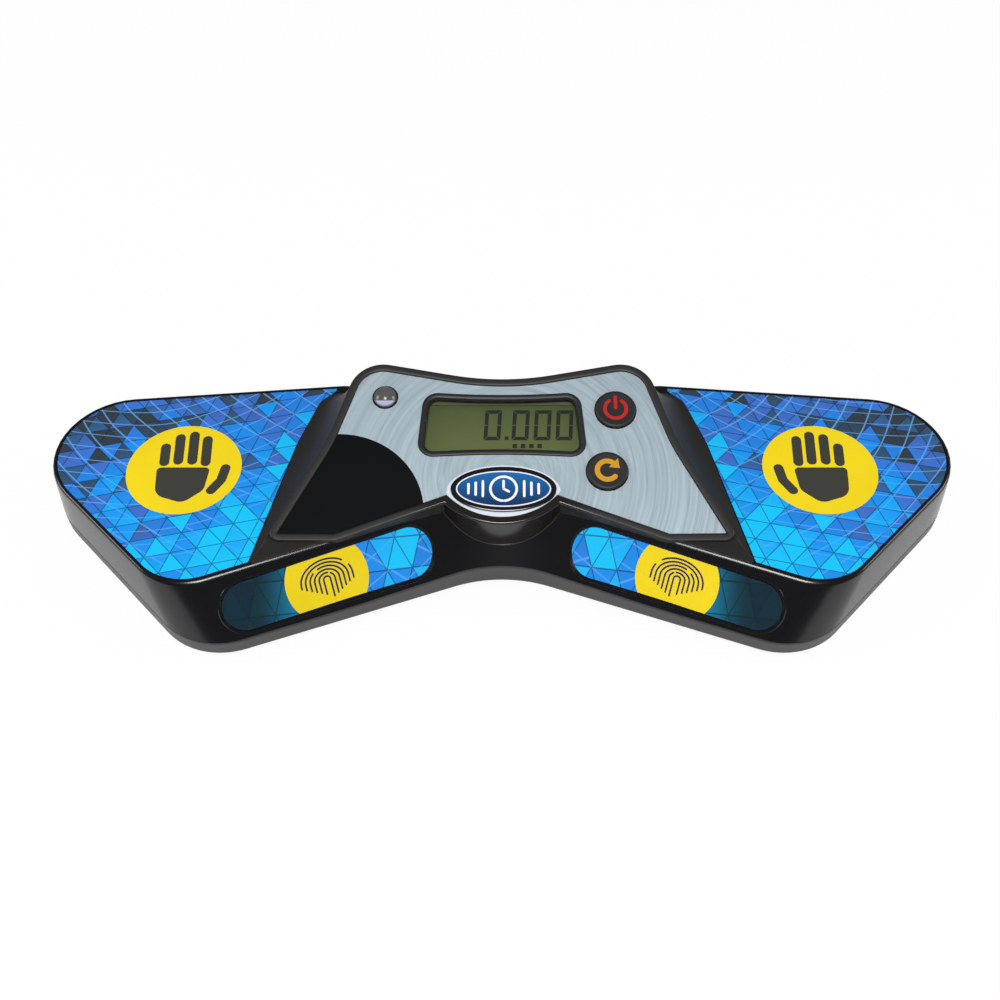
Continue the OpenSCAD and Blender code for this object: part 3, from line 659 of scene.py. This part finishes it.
# A fine welt runs round the nose's foot, where its wall meets the front face
WELT_R = 0.00032          # m
front_face = BVHTree.FromPolygons([v.co for v in upper.data.vertices],
                                  [tuple(f.vertices) for f in upper.data.polygons])
line = []
for (tx, ty), (fx, fy) in zip(outer[:NOSE_POINTS], spread[:NOSE_POINTS]):
    start, end = deck((tx, ty, 0)), deck((fx, fy, NOSE_LOW))
    found = front_face.ray_cast(start, (end - start).normalized(), (end - start).length)[0]
    if found:
        line.append(found)
rows = []
for k, p in enumerate(line):
    along = (line[min(k + 1, len(line) - 1)] - line[max(k - 1, 0)]).normalized()
    out = along.cross(Vector((0, 0, 1))).normalized()
    rows.append([p + x * out + y * out.cross(along) for x, y in circle(WELT_R, steps=10)])
console = joined("console_frame", plate, skirt, lofted("welt", rows, Vector))
finished(console, satin_black, "root", "bezel_plastic", "console_bezel")

# ------------------------ Faceplate
# Thin aluminium-look sheet, spun brushed about the badge and glued on the deck.
# A black field is printed on its left corner.

SHEET = 0.5               # its thickness, mm
profile = ((0.02, 0.02), (0.02, SHEET - 0.12), (0.1, SHEET))
sheet = lofted("faceplate_sheet", raised(lambda d: nosed(BEAD_W + d), profile), deck)
cut(sheet, *deck_holes(-1, 3))


def blend(tree, share, first, second):
    """A first colour turned into a second by a share, each a hex text or a node's output."""
    first, second = [colour(c) if isinstance(c, str) else c for c in (first, second)]
    mix = add(tree, "ShaderNodeMix", {"Factor": share, "A": first, "B": second}, data_type="RGBA")
    return mix.outputs["Result"]


made, tree, shader = material("spun_brushed_aluminium")
where = coords(tree)
# Brush strokes lie on circles about the badge, about 0.3 mm apart
local = calc_vector(tree, "SUBTRACT", where, tuple(deck((2, 16, 0))))
far = calc_vector(tree, "LENGTH", local)
aim = scaled(tree, calc_vector(tree, "NORMALIZE", local), 0.0016)
ringed = add(tree, "ShaderNodeCombineXYZ", {"X": far, "Y": far, "Z": far}).outputs[0]
ringed = calc_vector(tree, "ADD", ringed, aim)
strokes = add(tree, "ShaderNodeTexNoise",
              {"Vector": ringed, "Scale": 3200.0, "Detail": 2.0, "Roughness": 0.6}).outputs["Fac"]
tone = remap(tree, calc(tree, "ADD", strokes, noise(tree, ringed, 700.0)), 0, 1, 0.62, 1.38)
# The printed black field ends on an arc
FIELD_AT, FIELD_R = (-53.1, 2.4, SHEET), 0.0283
inked = calc(tree, "LESS_THAN", distance(tree, where, FIELD_AT), FIELD_R)
rough = add(tree, "ShaderNodeMix", {"Factor": inked, "A": remap(tree, tone, 0.34, 0.5), "B": 0.3})
relief = calc(tree, "MULTIPLY_ADD", inked, -0.12, 0.12)
bump = add(tree, "ShaderNodeBump", {"Height": strokes, "Strength": relief, "Distance": GRAIN_HEIGHT})
feed(tree, shader, {"Base Color": blend(tree, inked, blend(tree, tone, "#9db0b9", "#bdccd3"), "#080a0c"),
                    "Metallic": calc(tree, "MULTIPLY_ADD", inked, -0.45, 0.45),
                    "Specular IOR Level": calc(tree, "MULTIPLY_ADD", inked, -0.3, 0.5),
                    "Roughness": rough.outputs[0], "Normal": bump.outputs[0]})
finished(sheet, made, "root", "faceplate_metal", "faceplate")

# ------------------------ Badge
# A domed plastic oval on the nose, with a blue field, a black ring and a plain
# clock dial of the builder's own. It is pressed into the faceplate.

BADGE_AT, BADGE_W, BADGE_H = (0.5, 10.9), 34.0, 15.7


def badge_oval(d):
    """The badge's edge, its width and height smaller by d."""
    return oval(BADGE_W - d, BADGE_H - d, BADGE_AT)


def up_deck(tree, low, high, depth=0):
    """How far the shaded point is up the deck, from 0 at one place to 1 at another."""
    y = add(tree, "ShaderNodeSeparateXYZ", {0: coords(tree)}).outputs["Y"]
    return remap(tree, y, 0, 1, deck((0, low, depth)).y, deck((0, high, depth)).y)


profile = ((0, SHEET), (0, SHEET + 0.5), (0.4, SHEET + 0.66), (1.2, SHEET + 0.72))
badge = lofted("badge_base", raised(badge_oval, profile), deck)
badge_gloss = moulded("badge_black_gloss", "#0d0f14", 0.15, 0.6, 0.02, coat=0.4)
finished(badge, badge_gloss, "root", "badge_plastic", "badge_plate")
white_line = slab("badge_white_line", oval(30.4, 12.6, BADGE_AT), SHEET + 0.6, SHEET + 0.75, deck)
white_print = moulded("badge_white_print", "#dfe3ea", 0.25, 0.6, 0.02)
finished(white_line, white_print, "root", "badge_plastic")
made, tree, shader = material("badge_blue_enamel")
blue = blend(tree, up_deck(tree, 5, 17), "#0e2a52", "#1766a8")
feed(tree, shader, {"Base Color": blue, "Roughness": 0.18, "Coat Weight": 0.5})
field = slab("badge_blue_field", oval(29.5, 11.7, BADGE_AT), SHEET + 0.6, SHEET + 0.78, deck)
finished(field, made, "root", "badge_plastic")


def ribbon(points, width):
    """The outline of a line of even width with round ends."""
    line = [Vector(p) for p in points]
    left, right = [], []
    n = len(line)
    for i, p in enumerate(line):
        t = (line[min(i + 1, n - 1)] - line[max(i - 1, 0)]).normalized()
        side = Vector((-t.y, t.x)) * width / 2
        left.append(p + side)
        right.append(p - side)

    def cap(p, a):
        start = math.atan2((a - p).y, (a - p).x)
        angles = [start - math.pi * k / 6 for k in range(1, 6)]
        return [p + Vector((math.cos(w), math.sin(w))) * width / 2 for w in angles]
    return [tuple(p) for p in left + cap(line[-1], left[-1]) + right[::-1] + cap(line[0], right[0])]


def arc_line(r, a0, a1, at=(0, 0), steps=28):
    """Points along an arc between two angles in degrees."""
    angles = [math.radians(a0 + (a1 - a0) * k / steps) for k in range(steps + 1)]
    return [(at[0] + r * math.cos(w), at[1] + r * math.sin(w)) for w in angles]


def printed(name, outlines, low, high, finish, slot, body_name="root", place=deck, side=0):
    """Flat printed shapes as one thin piece, on a plane or, given a side, on a front face."""
    shapes = [on_front("print", o, low, high, side) if side else slab("print", o, low, high, place)
              for o in outlines]
    return finished(joined(name, *shapes), finish, body_name, slot)


DIAL_X, DIAL_Y = BADGE_AT
LINE_W = 0.8
marks = [ribbon(arc_line(4.2, -85, 265, BADGE_AT, 48), LINE_W)]
marks += [ribbon([BADGE_AT, (DIAL_X + x, DIAL_Y + y)], LINE_W) for x, y in ((0, 2.7), (1.7, -1.0))]
for s in (-1, 1):
    for k in range(3):
        x, half = DIAL_X + s * (6.6 + k * 2.3), 2.6 - 0.5 * k
        marks.append(ribbon([(x, DIAL_Y - half), (x, DIAL_Y + half)], LINE_W))
white_ink = moulded("badge_white_ink", "#eef1f5", 0.3, 0.6, 0.02)
printed("badge_dial", marks, SHEET + 0.7, SHEET + 0.8, white_ink, "badge_plastic")
# A pale border round the badge, kept inside the faceplate's round front edge
border = []
for x, y in oval(BADGE_W + 2.4, 18.4, (0.5, 10.2)):
    far = math.hypot(x, y - NOSE_Y) / (NOSE_R - BEAD_W - 0.1)
    border.append((x / max(far, 1), NOSE_Y + (y - NOSE_Y) / max(far, 1)))
pale = moulded("pale_lacquer", "#d9dde6", 0.25, 0.6, 0.02)
printed("badge_border", [border], SHEET - 0.02, SHEET + 0.05, pale, "badge_plastic")

# ------------------------ Display
# A liquid crystal cell behind a clear window in a glossy black surround. Its
# dark segments read zero: a clock before it starts.

profile = ((0, -2.2), (0, 0.62), (0.12, 0.86), (0.4, 1.0), (1.2, 1.0), (1.65, 0.8), (LCD_EDGE, 0.1),
           (LCD_EDGE, -0.6), (LCD_EDGE - 0.5, -0.62), (LCD_EDGE - 0.5, -2.2))
surround = lofted("display_surround", raised(lcd_outline, profile), deck, cyclic=True)
surround_abs = moulded("display_surround_abs", "#151616", 0.45, 0.4, 0.05)
finished(surround, surround_abs, "root", "frame_plastic", "lcd_frame")


def carried(node, finish):
    """A CAD node that keeps its shape gets its material."""
    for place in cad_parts[node].material_slots:
        place.material = finish


made, tree, shader = material("olive_liquid_crystal")
cloud = noise(tree, coords(tree), 60.0, 1.0)
# Painted shade: the olive darkens towards the rear, where the surround's rear wall shades the cell
cell = blend(tree, up_deck(tree, 24, 45, -2), "#616f3c", "#4a5630")
cell = scaled(tree, cell, remap(tree, cloud, 0.95, 1.05))
# Painted light: a pale strip along the rear stands for the lit inner wall of the surround, over a thin
# line of painted shade
y = add(tree, "ShaderNodeSeparateXYZ", {0: coords(tree)}).outputs["Y"]
for start, ink in ((LCD_Y + 8.4, "#3c4428"), (LCD_Y + 8.8, "#66654c")):
    cell = blend(tree, calc(tree, "GREATER_THAN", y, deck((0, start, -2)).y), cell, ink)
feed(tree, shader, {"Base Color": cell, "Roughness": 0.35})
carried("lcd_glass", made)

made, tree, shader = material("clear_window")
feed(tree, shader, {"Base Color": colour("#101510"), "Roughness": 0.04, "Alpha": 0.05})
carried("lcd_window", made)

DIGIT_W, DIGIT_H, STROKE, GAP, LEAN = 5.5, 11.0, 1.25, 0.13, 0.06


def zero(x, y):
    """The six mitred bars of a nought whose lower left corner is x, y."""
    w, h, s, g = DIGIT_W, DIGIT_H, STROKE, GAP
    cap = [(g, h), (s + g, h - s), (w - s - g, h - s), (w - g, h)]
    post = [(0, h - g), (0, h / 2 + g), (s, h / 2 + g), (s, h - s - g)]
    bars = [cap, post, [(w - px, py) for px, py in post]]
    bars += [[(px, h - py) for px, py in bar] for bar in bars]
    return [[(x + px + py * LEAN, y + py) for px, py in bar] for bar in bars]


def repeated(name, piece, offsets, finish):
    """Repeats a piece at several offsets with Geometry Nodes and makes the result a plain mesh."""
    mesh = bpy.data.meshes.new(name)
    mesh.from_pydata([tuple(o) for o in offsets], [], [])
    made = bpy.data.objects.new(name, mesh)
    scene.collection.objects.link(made)
    tree = bpy.data.node_groups.new(name + "_tree", "GeometryNodeTree")

    def socket(label, kind, way="INPUT"):
        return tree.interface.new_socket(label, in_out=way, socket_type="NodeSocket" + kind)
    socket("Places", "Geometry")
    asked = {socket("Piece", "Object"): piece, socket("Finish", "Material"): finish}
    socket("Geometry", "Geometry", "OUTPUT")
    given = add(tree, "NodeGroupInput").outputs
    shape = add(tree, "GeometryNodeObjectInfo", {"Object": given["Piece"]}).outputs["Geometry"]
    placed = add(tree, "GeometryNodeInstanceOnPoints", {"Points": given["Places"], "Instance": shape})
    real = add(tree, "GeometryNodeRealizeInstances", {"Geometry": placed.outputs["Instances"]})
    done = add(tree, "GeometryNodeSetMaterial",
               {"Geometry": real.outputs["Geometry"], "Material": given["Finish"]})
    add(tree, "NodeGroupOutput", {"Geometry": done.outputs["Geometry"]})
    step = made.modifiers.new("repeat", "NODES")
    step.node_group = tree
    for key, value in asked.items():
        step[key.identifier] = value
    graph = bpy.context.evaluated_depsgraph_get()
    made.data = bpy.data.meshes.new_from_object(made.evaluated_get(graph))
    made.modifiers.clear()
    bpy.data.objects.remove(piece)
    return made


def along_deck(x):
    """A step to the right on the deck, x in mm."""
    return deck((x, 0, 0)) - deck((0, 0, 0))


INK_LOW, INK_TOP = -2.22, -2.15
dark_segment = moulded("dark_segment", "#0c100a", 0.6, 0.5, 0.02)
bars = [slab("bar", o, INK_LOW, INK_TOP, deck) for o in zero(-6.1, LCD_Y - 4.3)]
places = [along_deck(x) for x in (0, 9.2, 16.4, 23.6)]
figures = repeated("display_figures", joined("nought", *bars), places, dark_segment)
finished(figures, dark_segment, "root", "display_glass")
point = [(x + 0.8, y + LCD_Y - 4.2) for x, y in ((0, 0), (1.3, 0), (1.35, 1.3), (0.05, 1.3))]
printed("display_point", [point], INK_LOW, INK_TOP, dark_segment, "display_glass")
mark = slab("mark", box_outline(1.5, 1.5, 0.2, (4.2, LCD_Y - 6.4)), INK_LOW, INK_TOP, deck)
marks = repeated("display_marks", mark, [along_deck(2.7 * k) for k in range(4)], dark_segment)
finished(marks, dark_segment, "root", "display_glass")

# ------------------------ Buttons and status light
# Two silicone caps on tact switches, one with a red power sign and one with
# an amber reset arrow, and a smoke-tinted dome over the ready lights.


def turned(name, profile, at, steps=72):
    """A solid of revolution on the deck from (radius, height) pairs, closed at both poles."""
    rows = [[(x, y, z) for x, y in circle(r, at, steps)] for r, z in profile if r > 0]
    points = [deck(p) for row in rows for p in row]
    faces = lathe_faces(steps, len(rows))
    points += [deck((at[0], at[1], profile[0][1])), deck((at[0], at[1], profile[-1][1]))]
    low, high, last = len(points) - 2, len(points) - 1, (len(rows) - 1) * steps
    for k in range(steps):
        n = (k + 1) % steps
        faces += [(low, n, k), (high, last + k, last + n)]
    return mesh_piece(name, points, faces)


BRIM_R = 8.05
cap = [(0, -4.2), (2.4, -4.2), (2.4, -3.3), (BRIM_R, -3.3), (BRIM_R, -2.5), (CAP_R, -2.5), (CAP_R, 1.05)]
cap += [(CAP_R - d, z) for d, z in ((0.07, 1.3), (0.25, 1.48), (0.55, 1.58), (0.95, 1.6), (1.5, 1.52))]
cap += [(0, 1.44)]
silicone = moulded("black_silicone", "#161514", 0.5, 0.25, 0.1)
for which, at in (("power", POWER_AT), ("reset", RESET_AT)):
    finished(turned(which + "_cap", cap, at), silicone,
             which + "_button", "button_rubber", which + "_button", sharp=40)
red = moulded("red_pad_print", "#b6080e", 0.4, 0.5, 0.03)
amber = moulded("amber_pad_print", "#c68e00", 0.4, 0.5, 0.03)
x, y = POWER_AT
sign = [ribbon(arc_line(3.5, 125, 415, POWER_AT, 40), 1.15), ribbon([(x, y + 0.4), (x, y + 4.3)], 1.15)]
printed("power_sign", sign, 1.42, 1.57, red, "button_rubber", "power_button")
sign = [ribbon(arc_line(3.25, 48, 318, RESET_AT, 40), 1.7)]
printed("reset_sign", sign, 1.42, 1.57, amber, "button_rubber", "reset_button")
head = [(RESET_AT[0] + x, RESET_AT[1] + y) for x, y in ((0.5, 1.1), (4.0, 0.7), (3.5, 4.2))]
printed("reset_arrow", [head], 1.44, 1.6, amber, "button_rubber", "reset_button")

# The lens is a part of a ball over a straight rim
BALL_R, LENS_TOP, LENS_ANGLE = 4.6, SHEET + 2.4, 65.9
lens = [(0, -3.0), (5.2, -3.0), (5.2, -2.2), (DOME_R, -2.2), (DOME_R, 0.62)]
for k in range(1, 12):
    w = math.radians(LENS_ANGLE * (1 - k / 12))
    lens.append((BALL_R * math.sin(w), LENS_TOP - BALL_R + BALL_R * math.cos(w)))
lens.append((0, LENS_TOP))
made, tree, shader = material("smoke_tinted_acrylic")
where = coords(tree)
tint = blend(tree, noise(tree, where, 120.0), "#4c4d48", "#5a5b55")
# A dark rim, and a painted reflection of the bright surroundings shows as a pale crescent under the front
# edge
rim = remap(tree, distance(tree, where, (*DOME_AT, 2.0)), 0, 1, 0.0033, 0.0039)
painted_crescent = distance(tree, where, (DOME_AT[0], DOME_AT[1] + 6.0, 2.0))
painted_crescent = remap(tree, painted_crescent, 0, 1, 0.0080, 0.0083)
painted_crescent = calc(tree, "MULTIPLY", painted_crescent, calc(tree, "SUBTRACT", 1.0, rim))
tint = blend(tree, painted_crescent, blend(tree, rim, tint, "#121315"), "#b3b1cf")
feed(tree, shader, {"Base Color": tint, "Roughness": 0.16, "IOR": 1.49})
finished(turned("status_lens", lens, DOME_AT), made, "root", "dome_plastic", "status_dome", sharp=40)

# ------------------------ Pads
# Printed polycarbonate film in each pocket: a mosaic of triangles in cyan,
# blue and violet under a net of fine pale lines, with a yellow target disc.


def mosaic(name, bright, shade_from, shade_to, tile=8.2):
    """Printed film with triangular tiles, in mm, that darkens between two distances from the middle."""
    made, tree, shader = material(name)
    where = coords(tree)
    split = add(tree, "ShaderNodeSeparateXYZ", {0: where}).outputs
    x = calc(tree, "ABSOLUTE", split["X"])
    flat = add(tree, "ShaderNodeCombineXYZ", {"X": x, "Y": split["Y"]}).outputs[0]
    # Three sets of parallel lines, 60 degrees apart, make the triangles
    height, leans = tile * 0.001 * math.sqrt(3) / 2, []
    for turn in (17, 77, 137):
        lean = (math.cos(math.radians(turn)) / height, math.sin(math.radians(turn)) / height, 0)
        leans.append(calc_vector(tree, "DOT_PRODUCT", flat, lean))
    cell = add(tree, "ShaderNodeCombineXYZ", dict(zip("XYZ", leans))).outputs[0]
    number = calc_vector(tree, "FLOOR", cell)
    chance = add(tree, "ShaderNodeTexWhiteNoise", {"Vector": number}, noise_dimensions="3D")
    # Brighter towards the player, darker to the rear outer corner
    slope = calc_vector(tree, "DOT_PRODUCT", flat, (-5.0, -8.5, 0))
    total = calc(tree, "MULTIPLY_ADD", chance.outputs["Value"], 0.5, calc(tree, "ADD", slope, bright))
    total = calc(tree, "MULTIPLY_ADD", noise(tree, number, 0.17, 1.0), 0.75, total)
    inks = add(tree, "ShaderNodeValToRGB", {0: calc(tree, "SUBTRACT", total, 0.35)})
    bar = inks.color_ramp
    for place, ink in ((0.0, "#2e3840"), (0.14, "#2b5478"), (0.26, "#3a66bc"), (0.37, "#1a78d2"),
                       (0.54, "#088ce4"), (0.74, "#00baf0")):
        step = bar.elements.new(place) if place > 0 else bar.elements[0]
        step.position, step.color = place, colour(ink)
    bar.elements.remove(bar.elements[-1])
    # Dark joints between the tiles
    near = calc_vector(tree, "SUBTRACT", calc_vector(tree, "FRACTION", cell), (0.5, 0.5, 0.5))
    sides = add(tree, "ShaderNodeSeparateXYZ", {0: calc_vector(tree, "ABSOLUTE", near)}).outputs
    most = calc(tree, "MAXIMUM", calc(tree, "MAXIMUM", sides[0], sides[1]), sides[2])
    tiles = blend(tree, remap(tree, most, 0, 0.75, 0.468, 0.49), inks.outputs["Color"], "#0c2038")
    # A net of pale waves, strongest towards the rear
    bend, waves = noise(tree, where, 14.0, 1.0), []
    for centre, close, sway in (((0.128, 0.098, 0), 370.0, 4.5), ((0.02, 0.11, 0), 270.0, -5.0)):
        wave = calc(tree, "MULTIPLY", calc_vector(tree, "DISTANCE", flat, centre), close)
        waves.append(calc(tree, "PINGPONG", calc(tree, "MULTIPLY_ADD", bend, sway, wave), 1.0))
    thread = remap(tree, calc(tree, "MINIMUM", *waves), 1, 0, 0.03, 0.09)
    thread = calc(tree, "MULTIPLY", thread, remap(tree, total, 0, 0.55, 1.12, 0.72))
    netted = blend(tree, thread, tiles, "#6fb4f4")
    dim = remap(tree, x, 0, 0.97, shade_from * 0.001, shade_to * 0.001, kind="SMOOTHSTEP")
    feed(tree, shader, {"Base Color": blend(tree, dim, netted, "#041b1e"), "Roughness": 0.32, "IOR": 1.5})
    return made


def metal_finish(name, tint, roughness, scratch):
    """A metal with fine scratches, scratch in mm."""
    made, tree, shader = material(name)
    lines = noise(tree, coords(tree), 1000 / scratch, 3.0)
    feed(tree, shader, {"Base Color": scaled(tree, colour(tint)[:3], remap(tree, lines, 0.88, 1.08)),
                        "Roughness": remap(tree, lines, roughness * 0.8, roughness * 1.2),
                        "Metallic": 1.0})
    return made


copper = metal_finish("copper_foil", "#c69a5c", 0.4, 1.5)
film = mosaic("printed_pad_film", 0.76, 400, 500)     # no shade within the deck
finger_film = mosaic("printed_finger_film", 0.42, 46, 77)
yellow = moulded("yellow_pad_ink", "#e4c900", 0.35, 0.5, 0.02)
pictogram_ink = moulded("dark_pad_ink", "#37372f", 0.4, 0.5, 0.02)
navy_ink = moulded("navy_pad_ink", "#17174a", 0.4, 0.5, 0.02)
DISC_AT, DISC_R = (104.7, 13.4), 18.9
HAND_SCALE, FINGER_W = 1.1, 3.0
PAD_FLOOR, FILM_TOP = 0.8, RIM - 0.2     # depth of the pockets, and level of the deck's films
PRINT_LOW, PRINT_TOP, SIGN_TOP = -0.02, 0.03, 0.06


def hand(side):
    """A plain open hand: a palm, four fingers and a thumb that points to the console."""
    shapes = []
    for x, y0, y1 in ((6.3, 2.6, 8.6), (2.2, 3.2, 12.4), (-2.0, 3.2, 13.4), (-6.1, 2.6, 11.6)):
        shapes.append(ribbon([(x, y0), (x + 0.05 * y1, y1)], FINGER_W))
    shapes.append(ring([(-7.8, 0.6, 1.4), (-7.0, -8.0, 3.4), (-1.4, -13.0, 3.6), (7.2, -10.0, 4.4),
                        (8.2, 0.6, 1.4)], 8))
    shapes.append(ribbon([(-9.2, -8.2), (-11.7, -4.2), (-12.4, 0.4)], FINGER_W))
    return [[(side * (DISC_AT[0] + HAND_SCALE * x), DISC_AT[1] + HAND_SCALE * y) for x, y in shape]
            for shape in shapes]


def clipped(points, low, high):
    """A convex outline kept between two heights."""
    out = []
    for (x0, y0), (x1, y1) in zip(points, points[1:] + points[:1]):
        if low <= y0 <= high:
            out.append((x0, y0))
        for edge in (low, high):
            if (y0 - edge) * (y1 - edge) < 0:
                t = (edge - y0) / (y1 - y0)
                out.append((x0 + (x1 - x0) * t, edge))
    x, y = sum(q[0] for q in points) / len(points), (low + high) / 2
    return sorted(out, key=lambda p: math.atan2(p[1] - y, p[0] - x))


def ridges():
    """The lines of a plain fingertip: nested arches, every other one with a gap."""
    lines = []
    for k in range(6):
        w, h, leg = 1.1 + 1.45 * k, 1.0 + 1.05 * k, 5.6 - 0.75 * k
        turns = [math.pi * j / 24 for j in range(25)]
        arch = [(-w, -leg)] + [(w * math.cos(math.pi - a), h * math.sin(a)) for a in turns]
        arch.append((w, -leg + 1.2))
        gap = {1: 9, 3: 17, 5: 5}.get(k)
        lines += [arch[:gap], arch[gap + 2:]] if gap else [arch]
    return [ribbon([on_pad(SPOT_AT[0] + x, SPOT_AT[1] + y) for x, y in line], RIDGE_W) for line in lines]


FINGER_TOP = -0.2                       # of the finger films, under the front face
SPOT_AT, SPOT_R, RIDGE_W = (0.6, 0.0), 13.4, 0.55      # on the finger pad
for side, which in ((1, "right"), (-1, "left")):
    pad = slab("hand_film_" + which, pad_outline(0, side), RIM - PAD_FLOOR, FILM_TOP)
    finished(pad, film, "root", "pad_film", "hand_pad_" + which)
    disc = [(side * x, y) for x, y in circle(DISC_R, DISC_AT, 96)]
    printed("hand_target_" + which, [disc], FILM_TOP + PRINT_LOW, FILM_TOP + PRINT_TOP,
            yellow, "pad_film", place=body)
    printed("hand_sign_" + which, hand(side), FILM_TOP, FILM_TOP + SIGN_TOP,
            pictogram_ink, "pad_film", place=body)
    pad = on_front("finger_film_" + which, stadium(FINGER_L, FINGER_H), -PAD_FLOOR, FINGER_TOP, side)
    finished(pad, finger_film, "root", "pad_film", "finger_pad_" + which)
    foil = on_front("finger_foil_" + which, stadium(44, 11), -2.3, -2.1, side)
    finished(foil, copper, "root", "electrode_copper", "finger_electrode_" + which)
    spot = clipped(circle(SPOT_R, SPOT_AT, 96), -FINGER_H / 2, FINGER_H / 2)
    printed("finger_target_" + which, [[on_pad(x, y) for x, y in spot]],
            FINGER_TOP + PRINT_LOW, FINGER_TOP + PRINT_TOP, yellow, "pad_film", side=side)
    printed("finger_sign_" + which, ridges(), FINGER_TOP, FINGER_TOP + SIGN_TOP,
            navy_ink, "pad_film", side=side)

# ------------------------ Parts inside and below
# The circuit board with its parts, the sensor foils and leads, the cells and
# their door, screws, feet and jack keep their CAD shapes and get their finish.

rubber = moulded("black_rubber", "#1a1a1a", 0.75, 0.4, 0.2)
nylon = moulded("black_nylon", "#202024", 0.5, 0.4, 0.1)
spring_steel = metal_finish("nickel_plated_spring_steel", "#c4c7ca", 0.3, 0.8)
zinc = metal_finish("zinc_plated_steel", "#9a9da0", 0.35, 0.8)
pvc_red = moulded("red_pvc_insulation", "#a83a2e", 0.5, 0.6, 0.05)
for node, finish in {
        "lcd_reflector": moulded("pearl_reflector_film", "#c9ccb6", 0.4, 0.5, 0.03),
        "zebra_strips": moulded("layered_silicone", "#3a3a3a", 0.7, 0.3, 0.1),
        "main_board": moulded("green_solder_mask", "#1f6b3a", 0.4, 0.6, 0.05),
        "controller_chip": moulded("black_epoxy", "#1d1d1f", 0.6, 0.3, 0.1),
        "board_parts": metal_finish("tinned_part_ends", "#b9a27a", 0.45, 0.8),
        "status_leds": moulded("clear_epoxy_lens", "#d6e8c4", 0.15, 0.6, 0.02),
        "power_plunger": nylon, "reset_plunger": nylon, "power_switch": nylon, "reset_switch": nylon,
        "hand_electrode_left": copper, "hand_electrode_right": copper,
        "sensor_leads": pvc_red, "battery_leads": pvc_red,
        "data_jack": moulded("jack_nylon", "#17171a", 0.45, 0.4, 0.08),
        "battery_door": moulded("door_charcoal_abs", "#2c2a2a", 0.45, 0.35, 0.15),
        "battery_cell_front": moulded("cell_shrink_sleeve", "#b8902a", 0.3, 0.8, 0.04),
        "battery_cell_rear": moulded("cell_shrink_sleeve_rear", "#b8902a", 0.3, 0.8, 0.04),
        "battery_spring_contacts": spring_steel, "battery_plate_contacts": spring_steel,
        "shell_screws": zinc, "board_screws": zinc, "rubber_feet": rubber}.items():
    carried(node, finish)
